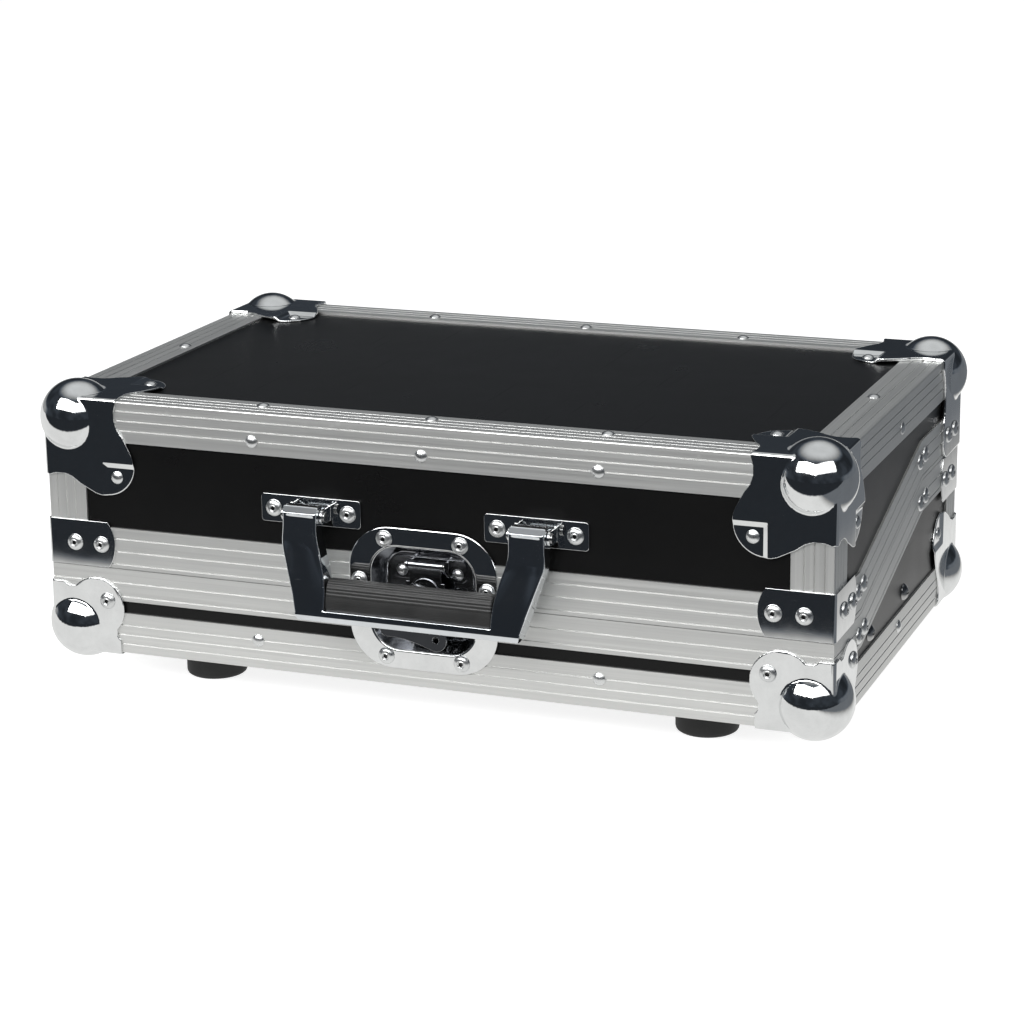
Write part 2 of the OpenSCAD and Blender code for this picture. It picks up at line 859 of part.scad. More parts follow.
module on_face(place) {
    face = place[0];
    a = place[1];
    b = place[2];
    n = place[3];
    if (face == "front") {
        translate([a, -n, b]) rotate([90, 0, 0]) children();
    } else if (face == "back") {
        translate([a, case_d + n, b]) rotate([-90, 0, 0]) children();
    } else if (face == "side") {
        translate([case_w / 2 + n, a, b]) rotate([0, 90, 0]) children();
    } else if (face == "top") {
        translate([a, b, case_h + n]) children();
    } else {
        translate([a, b, -n]) rotate([180, 0, 0]) children();
    }
}

// Domed head with its flat seat on Z = 0
module dome(r, h) {
    sphere_r = (r * r + h * h) / (2 * h);
    intersection() {
        translate([0, 0, h - sphere_r]) sphere(sphere_r, $fn = 48);
        cylinder(r = r + 1, h = h + 1, $fn = 48);
    }
}

module dome_rivet() {
    dome(dome_r, dome_h);
}

// Blind rivet: a domed flange with the broken mandrel's hole
module blind_rivet() {
    difference() {
        dome(pop_r, pop_h);
        translate([0, 0, pop_h / 3]) cylinder(r = pop_hole_r, h = pop_h, $fn = 24);
    }
}

pad_level = corner_t - edge_wall;
edge_rows = [-edge_rivet_pitch, 0, edge_rivet_pitch];

module lid_dome_rivets() color(chrome) placed() {
    up = case_h - edge_rivet_at;
    for (x = edge_rows) {
        on_face(["front", x, up, 0]) dome_rivet();
        on_face(["back", x, up, 0]) dome_rivet();
        on_face(["top", x, edge_rivet_at, 0]) dome_rivet();
        on_face(["top", x, case_d - edge_rivet_at, 0]) dome_rivet();
    }
    both_sides() {
        on_face(["top", case_w / 2 - edge_rivet_at, case_d / 2, 0]) dome_rivet();
        on_face(["side", case_d / 2, up, 0]) dome_rivet();
        corner_rivets(case_h - large_rivet_at, "top", "front") dome_rivet();
        on_face(["top", case_w / 2 - large_rivet_at, case_d - large_rivet_at, pad_level])
            dome_rivet();
    }
}

// Rivets of one large corner: on the side, on the front or back, and on the top or underside
module corner_rivets(z, flat, end) {
    x = case_w / 2 - large_rivet_at;
    y = end == "front" ? large_rivet_at : case_d - large_rivet_at;
    on_face([end, x, z, pad_level]) children();
    on_face(["side", y, z, pad_level]) children();
    on_face([flat, x, y, pad_level]) children();
}

module base_dome_rivets() color(chrome) placed() {
    for (x = [-edge_rivet_pitch, edge_rivet_pitch]) {
        on_face(["front", x, edge_rivet_at, 0]) dome_rivet();
        on_face(["back", x, edge_rivet_at, 0]) dome_rivet();
        on_face(["bottom", x, edge_rivet_at, 0]) dome_rivet();
        on_face(["bottom", x, case_d - edge_rivet_at, 0]) dome_rivet();
    }
    both_sides() {
        on_face(["side", case_d / 2, edge_rivet_at, 0]) dome_rivet();
        corner_rivets(large_rivet_at, "bottom", "back") dome_rivet();
    }
}

// Two rivets beside each seam of the side rims, a distance o off the parting line
module seam_rivets(o) {
    off = 7.5;
    level = [off, off * tan(slope_angle)];
    low = bend(bend_low, o);
    high = bend(bend_high, o);
    for (p = [low - [off, 0], low + level, high - level, high + [off, 0]]) {
        on_face(["side", p[0], p[1], 0]) children();
    }
}

module brace_rivets(z, end, level) {
    for (a = [brace_rivet_a, brace_rivet_b]) {
        y = end == "front" ? a : case_d - a;
        on_face([end, case_w / 2 - a, z, level]) children();
        on_face(["side", y, z, level]) children();
    }
}

brace_mid = brace_edge + brace_h / 2;
latch_rivet_x = 28;
latch_rivet_z = 42;
latch_side_x = 47.2;
latch_side_z = 11;
handle_z = parting_front + handle_up;

module lid_blind_rivets() color(chrome) placed() both_sides() {
    brace_rivets(parting_front + brace_mid, "front", brace_t) blind_rivet();
    brace_rivets(parting_back + brace_mid, "back", long_t) blind_rivet();
    seam_rivets(lid_rim_h * 0.6) blind_rivet();
    on_face(["front", latch_rivet_x, parting_front + latch_rivet_z, dish_t]) blind_rivet();
    on_face(["front", latch_side_x, parting_front + latch_side_z, dish_t]) blind_rivet();
    for (side = [-1, 1]) {
        on_face(["front", bracket_x + side * bracket_rivet, handle_z, bracket_t - edge_wall])
            blind_rivet();
        on_face(["back", hinge_x + side * hinge_w / 3, parting_back + leaf_h * 0.66, leaf_t])
            blind_rivet();
    }
}

module base_blind_rivets() color(chrome) placed() both_sides() {
    brace_rivets(parting_back - brace_mid, "back", brace_t) blind_rivet();
    seam_rivets(-base_rim_h * 0.58) blind_rivet();
    on_face(["front", latch_rivet_x, parting_front - latch_rivet_z, dish_t]) blind_rivet();
    on_face(["front", latch_side_x, parting_front - latch_side_z, dish_t]) blind_rivet();
    along = small_lobe_a + 9;
    up = small_lobe_b + 5.5;
    on_face(["front", case_w / 2 - along, up, corner_t]) blind_rivet();
    on_face(["side", along, up, corner_t]) blind_rivet();
    for (side = [-1, 1]) {
        on_face(["back", hinge_x + side * hinge_w / 3, parting_back - leaf_h * 0.66, leaf_t])
            blind_rivet();
    }
}

side_screw_z = parting_front + (side_screw_y - slope_start) * tan(slope_angle) - side_screw_drop;

module side_screws() color(dark_chrome) placed() both_sides() {
    for (y = [side_screw_y, side_screw_y + side_screw_pitch]) {
        on_face(["side", y, side_screw_z, -edge_wall]) difference() {
            dome(side_screw_r, side_screw_h);
            translate([0, 0, side_screw_h - 1.6]) for (a = [0, 90]) {
                rotate(a) translate([-3, -0.6, 0]) cube([6, 1.2, 3]);
            }
        }
    }
}

// Foam lining

module foam_block(z0, z1) {
    translate([foam_in - case_w / 2, foam_in, z0])
        cube([case_w - 2 * foam_in, case_d - 2 * foam_in, z1 - z0]);
}

module foam_hollow(z0, z1) {
    inset = foam_in + foam_t;
    translate([inset - case_w / 2, inset, z0])
        cube([case_w - 2 * inset, case_d - 2 * inset, z1 - z0]);
}

module lid_foam() color(foam_grey) placed() {
    ceiling = case_h - foam_in;
    difference() {
        foam_block(parting_front, ceiling);
        foam_hollow(0, ceiling - foam_t);
        from_side(-big, big) polygon(concat(
            parting(foam_rim, -1, case_d + 1), [[case_d + 1, 0], [-1, 0]]));
        dish_cutter();
    }
}

module base_foam() color(foam_grey) placed() {
    difference() {
        foam_block(foam_in, parting_back);
        foam_hollow(foam_in + foam_t, big);
        from_side(-big, big) polygon(concat(
            parting(-foam_rim, -1, case_d + 1), [[case_d + 1, big], [-1, big]]));
        dish_cutter();
    }
}

// Feet

foot_x = case_w / 2 - foot_inset;

module feet() color(rubber) placed() both_sides() {
    chamfer = 2;
    for (y = [foot_y, case_d - foot_y]) {
        translate([foot_x, y, -foot_h]) rotate_extrude() polygon([
            [foot_recess_r, 0], [foot_r - chamfer, 0], [foot_r, chamfer],
            [foot_r, foot_h + edge_wall], [0, foot_h + edge_wall], [0, foot_recess_h],
            [foot_recess_r, foot_recess_h]]);
    }
}

module foot_screws() color(dark_chrome) placed() both_sides() {
    for (y = [foot_y, case_d - foot_y]) {
        translate([foot_x, y, foot_recess_h - foot_h]) rotate([180, 0, 0]) difference() {
            dome(foot_screw_r, 3);
            translate([0, 0, 1.4]) for (a = [0, 90]) {
                rotate(a) translate([-3, -0.6, 0]) cube([6, 1.2, 3]);
            }
        }
    }
}

// Hinges: five knuckles on one pin, three on the base leaf and two on the lid leaf

knuckle_w = hinge_w / 5;

module hinge_at() {
    both_sides() translate([hinge_x, case_d + hinge_out, parting_back]) children();
}

module hinge_leaf(knuckles) {
    difference() {
        union() {
            translate([-hinge_w / 2, -hinge_out, knuckle_r + knuckle_gap])
                cube([hinge_w, leaf_t, leaf_h - knuckle_r - knuckle_gap]);
            for (i = knuckles) {
                x0 = i * knuckle_w - hinge_w / 2 + knuckle_gap / 2;
                translate([x0, 0, 0]) rotate([0, 90, 0])
                    cylinder(r = knuckle_r, h = knuckle_w - knuckle_gap);
                translate([x0, -hinge_out, parting_gap]) cube([
                    knuckle_w - knuckle_gap, leaf_t, knuckle_r + knuckle_gap]);
            }
        }
        translate([-hinge_w, 0, 0]) rotate([0, 90, 0])
            cylinder(r = hinge_pin_r + pin_clear, h = 2 * hinge_w);
    }
}

module lid_hinge_leaves() color(chrome) placed() hinge_at() hinge_leaf([1, 3]);

module base_hinge_leaves() color(chrome) placed() hinge_at()
    mirror([0, 0, 1]) hinge_leaf([0, 2, 4]);

module hinge_pins() color(dark_chrome) placed() hinge_at() {
    translate([-hinge_w / 2, 0, 0]) rotate([0, 90, 0]) cylinder(r = hinge_pin_r, h = hinge_w);
    for (x = [-hinge_w / 2 - 1.2, hinge_w / 2]) {
        translate([x, 0, 0]) rotate([0, 90, 0]) cylinder(r = hinge_pin_r + 1, h = 1.2);
    }
}

// Latch

// Tapered pocket solid, round at its corners; the mouth is on the case face
module pocket(hw, hh, r, depth, front) {
    k = dish_lean / dish_depth;
    lean0 = k * front;
    lean1 = k * depth;
    for (x = [-1, 1], z = [-1, 1]) {
        translate([x * (hw - r), front, z * (hh - r)]) rotate([-90, 0, 0])
            cylinder(r1 = r - lean0, r2 = r - lean1, h = depth - front);
    }
    translate([0, 0, r - hh]) linear_extrude(2 * (hh - r)) polygon([
        [lean0 - hw, front], [hw - lean0, front], [hw - lean1, depth], [lean1 - hw, depth]]);
    from_side(r - hw, hw - r) polygon([
        [front, lean0 - hh], [depth, lean1 - hh], [depth, hh - lean1], [front, hh - lean0]]);
}

module whole_dish() {
    difference() {
        union() {
            from_front(-dish_t, 0) round_rect(plate_hw, plate_hh, plate_r);
            pocket(mouth_hw + dish_t, mouth_hh + dish_t, mouth_r + dish_t, dish_depth + dish_t, 0);
        }
        pocket(mouth_hw, mouth_hh, mouth_r, dish_depth, -dish_t - 1);
    }
}

module latch_upper_dish() color(chrome) placed() translate([0, 0, parting_front]) intersection() {
    whole_dish();
    translate([-big / 2, -big / 2, half_gap]) cube(big);
}

module latch_lower_dish() color(chrome) placed() translate([0, 0, parting_front]) intersection() {
    whole_dish();
    translate([-big / 2, -big / 2, -big - half_gap]) cube(big);
}

// Everything in the latch is placed from the parting line in the middle of the case face
module latch_place() {
    placed() translate([0, 0, parting_front]) children();
}

eye_w = 23.6;
ear_t = 1.5;
ear_gap = 0.3;
bracket_hw = 27;
bracket_low = 11;
bracket_rivet_x = 20.7;
bracket_rivet_z = 17;
bracket_top = 27;

module latch_bracket() color(chrome) latch_place() {
    floor_y = dish_depth;
    ear_r = link_eye_r + 0.6;
    difference() {
        union() {
            translate([0, 0, (bracket_low + bracket_top) / 2]) from_front(floor_y - hook_t, floor_y)
                round_rect(bracket_hw, (bracket_top - bracket_low) / 2, 4);
            both_sides() translate([eye_w / 2 + ear_gap, 0, 0]) from_side(0, ear_t) {
                translate([link_pin_in, link_pin_up]) circle(ear_r);
                polygon([[link_pin_in, link_pin_up + ear_r], [link_pin_in, link_pin_up - ear_r],
                    [floor_y - hook_t, bracket_low + 3], [floor_y - hook_t, link_pin_up + 1]]);
            }
        }
        link_bore(link_pin_r + pin_clear);
    }
}

module link_bore(r) {
    translate([-big / 2, link_pin_in, link_pin_up]) rotate([0, 90, 0]) cylinder(r = r, h = big);
}

module latch_bracket_rivets() color(chrome) latch_place() both_sides() {
    translate([bracket_rivet_x, dish_depth - hook_t, bracket_rivet_z]) rotate([90, 0, 0])
        dome(4.2, 2.4);
}

module latch_link_pin() color(dark_chrome) latch_place() {
    half = eye_w / 2 + ear_gap + ear_t;
    translate([-half, link_pin_in, link_pin_up]) rotate([0, 90, 0])
        cylinder(r = link_pin_r, h = 2 * half);
    both_sides() translate([half, link_pin_in, link_pin_up]) rotate([0, 90, 0])
        cylinder(r = link_pin_r + 0.7, h = 0.8);
}

// Depths of the latch layers behind the case face
link_front = link_pin_in - link_t / 2;
link_back = link_front + link_t;
layer_gap = 0.2;
boss_h = 1.2;
wing_back = -dish_t - 2 * layer_gap;
wing_front = wing_back - 1.8;
hook_front = link_back + layer_gap;
hook_back = hook_front + hook_t;
window_hh = eccentric_r + 0.62;
window_hw = eccentric_r + throw + 0.3;
hook_hw = 12.4;
link_low = -24;
rail_top = 8;
keeper_lip_z = -20;
keeper_front = hook_back + 3.3;
hook_tip_top = keeper_lip_z - hook_t - 0.3 - 2 * throw;

module latch_link() color(chrome) latch_place() difference() {
    union() {
        // Plate, narrow between the ears of the bracket
        from_front(link_front, link_back) {
            translate([-link_hw, link_low]) square([2 * link_hw, 12 - link_low]);
            translate([-eye_w / 2, 0]) square([eye_w, link_pin_up]);
        }
        // Rolled eye
        translate([-eye_w / 2, link_pin_in, link_pin_up]) rotate([0, 90, 0])
            cylinder(r = link_eye_r, h = eye_w);
        // Turned-back sides that guide the hook
        both_sides() translate([hook_hw + layer_gap, link_front, link_low])
            cube([link_hw - hook_hw - layer_gap, hook_back - link_front, rail_top - link_low]);
        // Round pressed boss above the spindle
        translate([0, link_front, 5]) rotate([90, 0, 0]) difference() {
            cylinder(r = 10, h = boss_h);
            translate([0, 0, 8.6]) sphere(8);
        }
    }
    link_bore(link_pin_r + pin_clear);
    translate([0, 0, -spindle_drop]) rotate([-90, 0, 0])
        cylinder(r = spindle_r + pin_clear, h = big, center = true);
}

module latch_hook() color(dark_chrome) latch_place() {
    centre_z = -spindle_drop - throw;
    top_z = centre_z + window_hh + 2.5;
    from_front(hook_front, hook_back) difference() {
        translate([-hook_hw, hook_tip_top - hook_t]) square([
            2 * hook_hw, top_z - hook_tip_top + hook_t]);
        translate([-window_hw, centre_z - window_hh]) square([2 * window_hw, 2 * window_hh]);
    }
    translate([-hook_hw, hook_front, hook_tip_top - hook_t]) cube([
        2 * hook_hw, hook_t + 3, hook_t]);
}

wing_lobe = [wing_lobe_x, -wing_lobe_z];
wing_hub_r = 9;

function bezier(a, b, c, d, n) = [for (i = [0 : n]) let (t = i / n, u = 1 - t)
    u * u * u * a + 3 * u * u * t * b + 3 * u * t * t * c + t * t * t * d];

// One curved blade of the wing, drawn round the spindle
module half_wing() {
    blade = [-wing_lobe_x * 2.75, -9];
    blade_r = 5;
    way = wing_lobe / norm(wing_lobe);
    side = [-way[1], way[0]];
    start = wing_lobe + wing_lobe_r * [cos(250), sin(250)];
    finish = blade - [0, blade_r];
    translate(wing_lobe) circle(wing_lobe_r);
    translate(blade) circle(blade_r);
    polygon(concat([wing_hub_r * side, wing_lobe + wing_lobe_r * side],
        bezier(start, start + 10 * [-0.94, 0.34], finish + [13, 0.5], finish, 8),
        [blade + [0, blade_r], wing_hub_r * [-0.7, 0.7]]));
}

// Butterfly wing with two S-curved lobes, its spindle, eccentric and retaining head
module latch_wing() color(chrome) latch_place() translate([0, 0, -spindle_drop]) {
    from_front(wing_front, wing_back) difference() {
        union() {
            circle(wing_hub_r);
            half_wing();
            rotate(180) half_wing();
        }
        for (a = [0, 180]) {
            rotate(a) translate(wing_lobe) circle(2.4, $fn = 32);
        }
    }
    rotate([-90, 0, 0]) translate([0, 0, wing_front - 0.6]) cylinder(r = 5, h = 1.2);
    rotate([-90, 0, 0]) translate([0, 0, wing_front + 1])
        cylinder(r = 5, h = link_front - boss_h - 0.3 - wing_front - 1);
    rotate([-90, 0, 0]) translate([0, 0, wing_front])
        cylinder(r = spindle_r, h = hook_back + 0.2 - wing_front);
    translate([0, 0, -throw]) from_front(hook_front, hook_back) circle(eccentric_r);
    from_front(hook_back + 0.2, hook_back + 1.4) circle(window_hh + 1.8);
}

module latch_keeper() color(dark_chrome) latch_place() {
    floor_y = dish_depth;
    difference() {
        translate([0, 0, keeper_lip_z + 4]) from_front(floor_y - 1.2, floor_y)
            round_rect(20, 5.5, 3);
        translate([-50, 0, keeper_lip_z - hook_t - 10]) cube([100, 50, 10]);
    }
    translate([-11, keeper_front, keeper_lip_z - hook_t]) cube([22, floor_y - keeper_front, hook_t]);
    both_sides() translate([16, floor_y - 1.2, keeper_lip_z + 4]) rotate([90, 0, 0]) dome(2.6, 1.2);
}

// Handle

// Everything in the handle is placed from its pin axis, in front of the case
module handle_place() {
    placed() translate([0, -pin_out, handle_z]) children();
}

ear_clear = 0.3;
bracket_ear_t = 2;
bracket_back = pin_out + edge_wall;

module handle_brackets() color(chrome) handle_place() both_sides() translate([bracket_x, 0, 0]) {
    ear_r = handle_pin_r + 2.6;
    ear_x = arm_w / 2 + ear_clear;
    difference() {
        union() {
            from_front(bracket_back - bracket_t, bracket_back)
                round_rect(bracket_w / 2, bracket_h / 2, 2.5);
            both_sides() translate([ear_x, 0, 0]) from_side(0, bracket_ear_t) {
                circle(ear_r);
                translate([0, -ear_r]) square([bracket_back - bracket_t, 2 * ear_r]);
            }
        }
        translate([-bracket_w, 0, 0]) rotate([0, 90, 0])
            cylinder(r = handle_pin_r + pin_clear, h = 2 * bracket_w);
    }
}

module handle_pins() color(dark_chrome) handle_place() both_sides() translate([bracket_x, 0, 0]) {
    half = arm_w / 2 + ear_clear + bracket_ear_t;
    translate([-half, 0, 0]) rotate([0, 90, 0]) cylinder(r = handle_pin_r, h = 2 * half);
    both_sides() translate([half, 0, 0]) rotate([0, 90, 0]) cylinder(r = handle_pin_r + 1, h = 1.2);
}

// Front outline of the right arm, drawn in by i
function arm_outline(i) = let (
    outer = bracket_x + arm_w / 2 - i,
    inner = bracket_x - arm_w / 2 + i,
    grip_end = grip_len / 2 + 0.2 + i) [
    [inner, head_up - i], [inner, 4 - elbow_drop], [0.65 * grip_end + 0.35 * inner, -elbow_drop - 15],
    [grip_end, -elbow_drop - 31],
    [grip_end, -handle_drop + i], [foot_hw - i, -handle_drop + i],
    [elbow_hw - i, -elbow_drop], [outer, -handle_pin_r - 4.5], [outer, head_up - i]];

// Below the bend the handle leans outwards; its lower front edge is the origin of that part
elbow_y = -10;
bar_depth = grip_depth + 1.5;
lean = atan2(bar_out + elbow_y, handle_drop - elbow_drop - 4);
low_round = 3;
low_front = [-bar_out - low_round * sin(lean), bar_depth * sin(lean) - handle_drop];

module leaning() {
    translate(low_front) rotate(-lean) children();
}

function lean_point(u, v) = low_front + [
    u * cos(lean) + v * sin(lean), v * cos(lean) - u * sin(lean)];

// Side outline of the arms
module arm_side() {
    polygon([[2, head_up], [-9, head_up], [elbow_y, -elbow_drop],
        lean_point(0, low_round), lean_point(low_round, 0),
        lean_point(bar_depth, 0), [1.5, -elbow_drop], [4, 0]]);
}

// Everything behind the arms' front line, drawn in by the depth of the trough
module behind_arm_front() {
    polygon([[60, head_up], [-9, head_up], [elbow_y, -elbow_drop], lean_point(0, 0),
        lean_point(0, -20), [60, -handle_drop - 20]]);
}

module handle_bail() color(chrome) handle_place() difference() {
    union() {
        intersection() {
            both_sides() from_front(-60, 60) polygon(arm_outline(0));
            from_side(-big, big) arm_side();
        }
        intersection() {
            from_side(-foot_hw, foot_hw) leaning() square([bar_depth, bar_h]);
            from_side(-big, big) arm_side();
        }
    }
    // Trough along the front of each arm
    both_sides() difference() {
        from_front(-60, 60) polygon(arm_outline(trough_rim));
        translate([0, trough, 0]) from_side(-big, big) behind_arm_front();
    }
    // Shallow recess along the front of the lower bar
    from_side(-grip_len / 2, grip_len / 2) leaning()
        translate([-5, bar_h / 3]) square([5 + bar_recess, bar_h / 2]);
    translate([-big / 2, 0, 0]) rotate([0, 90, 0]) cylinder(r = handle_pin_r + pin_clear, h = big);
}

module handle_grip() color(charcoal) handle_place() {
    front = 0.8;
    top_r = grip_depth / 2;
    ribs = 9;
    from_side(-grip_len / 2, grip_len / 2) leaning() translate([front, bar_h]) {
        translate([rib_r, 0]) square([grip_depth - rib_r, grip_h - top_r]);
        translate([top_r, grip_h - top_r]) circle(top_r - rib_r);
        for (i = [0 : ribs]) {
            a = 180 - i * 180 / ribs;
            translate([top_r, grip_h - top_r] + (top_r - rib_r) * [cos(a), sin(a)])
                circle(rib_r, $fn = 16);
        }
        for (v = [1.6 : 2.4 : grip_h - top_r - 1.2]) {
            translate([rib_r, v]) circle(rib_r, $fn = 16);
        }
    }
}

lid_top_panel();
lid_front_panel();
lid_back_panel();
lid_side_panels();
lid_front_edge();
lid_back_edge();
lid_left_edge();
lid_right_edge();
lid_corner_posts();
lid_front_rim();
lid_back_rim();
lid_left_rim();
lid_right_rim();
lid_front_corners();
lid_back_corners();
lid_corner_braces();
lid_dome_rivets();
lid_blind_rivets();
lid_foam();
lid_hinge_leaves();
base_bottom_panel();
base_front_panel();
base_back_panel();
base_side_panels();
base_front_edge();
base_back_edge();
base_left_edge();
base_right_edge();
base_corner_posts();
base_front_rim();
base_back_rim();
base_left_rim();
base_right_rim();
base_front_corners();
base_back_corners();
base_corner_braces();
base_dome_rivets();
base_blind_rivets();
base_foam();
side_screws();
base_hinge_leaves();
hinge_pins();
feet();
foot_screws();
latch_upper_dish();
latch_lower_dish();
latch_bracket();
latch_bracket_rivets();
latch_link_pin();
latch_link();
latch_hook();
latch_wing();
latch_keeper();
handle_brackets();
handle_pins();
handle_bail();
handle_grip();
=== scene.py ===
"""Looks of the flight case for a lighting controller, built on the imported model.

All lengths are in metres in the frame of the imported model: X to the right, Y away from the handle,
Z up, origin on the standing plane. Helpers take millimetres of the case frame, whose origin is the
front lower edge of the case, and turn them into that frame.
"""
import json
import math

import bmesh
import bpy
import numpy
from mathutils import Matrix, Vector
from mathutils.kdtree import KDTree

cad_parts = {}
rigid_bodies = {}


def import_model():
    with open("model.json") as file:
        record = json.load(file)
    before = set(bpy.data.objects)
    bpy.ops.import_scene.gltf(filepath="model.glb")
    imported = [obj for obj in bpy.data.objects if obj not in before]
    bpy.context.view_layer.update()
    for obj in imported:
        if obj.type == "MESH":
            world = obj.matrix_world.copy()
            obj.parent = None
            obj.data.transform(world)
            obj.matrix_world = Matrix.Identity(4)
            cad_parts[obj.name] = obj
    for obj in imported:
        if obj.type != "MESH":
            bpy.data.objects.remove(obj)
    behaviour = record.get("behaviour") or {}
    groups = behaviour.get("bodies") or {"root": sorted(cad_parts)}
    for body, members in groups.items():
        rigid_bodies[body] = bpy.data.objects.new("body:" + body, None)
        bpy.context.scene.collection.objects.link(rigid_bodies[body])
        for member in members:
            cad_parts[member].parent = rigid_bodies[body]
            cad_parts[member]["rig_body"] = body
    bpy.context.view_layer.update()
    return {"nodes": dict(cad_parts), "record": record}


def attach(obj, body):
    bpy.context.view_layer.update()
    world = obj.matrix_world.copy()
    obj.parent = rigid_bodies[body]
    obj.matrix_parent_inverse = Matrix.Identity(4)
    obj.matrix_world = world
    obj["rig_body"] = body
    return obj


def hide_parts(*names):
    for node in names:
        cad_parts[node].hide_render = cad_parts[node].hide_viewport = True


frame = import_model()
nodes = frame["nodes"]

# Sizes of the part, in millimetres, repeated from its source
CASE_W = 578.0
CASE_D = 354.0
CASE_H = 186.0
FOOT_H = 25.0
SHIFT_Y = -165.5
PARTING_FRONT = 63.0
PARTING_BACK = 110.97
SLOPE_START = 68.5
SLOPE_END = 243.0
SLOPE = math.atan2(PARTING_BACK - PARTING_FRONT, SLOPE_END - SLOPE_START)


def place(x, y, z):
    """A point of the case frame, in millimetres, as a point of the model's frame in metres."""
    return Vector((x / 1000, (y + SHIFT_Y) / 1000, (z + FOOT_H) / 1000))


# Camera, solved from the straight edges of the case in the photograph; lengths of the image in pixels

YAW = math.radians(21.428)
PITCH = math.radians(14.391)
ROLL = math.radians(-0.789)
IMAGE = 1024
FOCAL_PIXELS = 2887.87
OPTICAL_CENTRE = (502.2, 442.4)
SENSOR = 36
CAMERA_AT = (0.74104, -1.90229, 0.68346)


def make_camera():
    """The photograph's camera, from its turn, tilt, roll, place, focal length and optical centre."""
    yaw, pitch, roll = YAW, PITCH, ROLL
    ahead = Vector((-math.sin(yaw) * math.cos(pitch), math.cos(yaw) * math.cos(pitch), -math.sin(pitch)))
    level = Vector((math.cos(yaw), math.sin(yaw), 0))
    upright = level.cross(ahead)
    right = math.cos(roll) * level + math.sin(roll) * upright
    up = math.cos(roll) * upright - math.sin(roll) * level
    data = bpy.data.cameras.new("camera")
    data.sensor_width = SENSOR
    data.lens = FOCAL_PIXELS / IMAGE * SENSOR
    data.shift_x = (IMAGE / 2 - OPTICAL_CENTRE[0]) / IMAGE
    data.shift_y = (OPTICAL_CENTRE[1] - IMAGE / 2) / IMAGE
    data.clip_start = 0.05
    data.clip_end = 80
    camera = bpy.data.objects.new("camera", data)
    camera.matrix_world = Matrix((
        (right.x, up.x, -ahead.x, CAMERA_AT[0]),
        (right.y, up.y, -ahead.y, CAMERA_AT[1]),
        (right.z, up.z, -ahead.z, CAMERA_AT[2]),
        (0, 0, 0, 1)))
    bpy.context.scene.collection.objects.link(camera)
    bpy.context.scene.camera = camera


# Materials

class Graph:
    """Fills the cleared node tree of a material or a world; where is the coordinate in use."""

    def __init__(self, owner, coordinate):
        owner.use_nodes = True
        self.tree = owner.node_tree
        self.tree.nodes.clear()
        self.where = self.node("ShaderNodeTexCoord").outputs[coordinate]

    def node(self, kind, **settings):
        made = self.tree.nodes.new(kind)
        for key, value in settings.items():
            setattr(made, key, value)
        return made

    def feed(self, socket, value):
        """Gives a socket a number, a colour or the output of another node."""
        if isinstance(value, (int, float)):
            socket.default_value = value
        elif isinstance(value, tuple):
            socket.default_value = (*value, 1)
        else:
            self.tree.links.new(value, socket)

    def mapped(self, scale, turn=(0, 0, 0)):
        made = self.node("ShaderNodeMapping")
        made.inputs["Scale"].default_value = scale
        made.inputs["Rotation"].default_value = turn
        self.feed(made.inputs["Vector"], self.where)
        return made.outputs["Vector"]

    def noise(self, scale, detail=2.0, vector=None, rough=0.5):
        made = self.node("ShaderNodeTexNoise")
        self.feed(made.inputs["Scale"], scale)
        self.feed(made.inputs["Detail"], detail)
        self.feed(made.inputs["Roughness"], rough)
        self.feed(made.inputs["Vector"], vector or self.where)
        return made.outputs["Fac"]

    def cells(self, scale, feature="F1"):
        made = self.node("ShaderNodeTexVoronoi", feature=feature)
        self.feed(made.inputs["Scale"], scale)
        self.feed(made.inputs["Vector"], self.where)
        return made.outputs["Distance"]

    def math(self, kind, a, b):
        made = self.node("ShaderNodeMath", operation=kind)
        self.feed(made.inputs[0], a)
        self.feed(made.inputs[1], b)
        return made.outputs[0]

    def span(self, value, low, high, out_low, out_high, smooth=False):
        made = self.node("ShaderNodeMapRange", interpolation_type="SMOOTHSTEP" if smooth else "LINEAR")
        self.feed(made.inputs["Value"], value)
        self.feed(made.inputs["From Min"], low)
        self.feed(made.inputs["From Max"], high)
        self.feed(made.inputs["To Min"], out_low)
        self.feed(made.inputs["To Max"], out_high)
        return made.outputs["Result"]

    def mix(self, factor, a, b):
        made = self.node("ShaderNodeMix", data_type="RGBA")
        self.feed(made.inputs[0], factor)
        self.feed(made.inputs[6], a)
        self.feed(made.inputs[7], b)
        return made.outputs[2]

    def mix_vector(self, factor, a, b):
        made = self.node("ShaderNodeMix", data_type="VECTOR")
        self.feed(made.inputs[0], factor)
        self.feed(made.inputs[4], a)
        self.feed(made.inputs[5], b)
        return made.outputs[1]

    def axis(self, index):
        made = self.node("ShaderNodeSeparateXYZ")
        self.feed(made.inputs[0], self.where)
        return made.outputs[index]

    def bump(self, height, strength, distance, below=None):
        made = self.node("ShaderNodeBump")
        self.feed(made.inputs["Strength"], strength)
        self.feed(made.inputs["Distance"], distance)
        self.feed(made.inputs["Height"], height)
        if below:
            self.feed(made.inputs["Normal"], below)
        return made.outputs["Normal"]


class Shader(Graph):
    """A material with one principled surface."""

    def __init__(self, name):
        self.material = bpy.data.materials.new(name)
        super().__init__(self.material, "Object")
        self.surface = self.node("ShaderNodeBsdfPrincipled")
        output = self.node("ShaderNodeOutputMaterial")
        self.feed(output.inputs["Surface"], self.surface.outputs["BSDF"])

    def set(self, **values):
        for key, value in values.items():
            self.surface.inputs[key.replace("_", " ")].default_value = value

    def link(self, output, name):
        self.feed(self.surface.inputs[name], output)


def grey(value, tint=(1, 1, 1)):
    return tuple(value * t for t in tint)


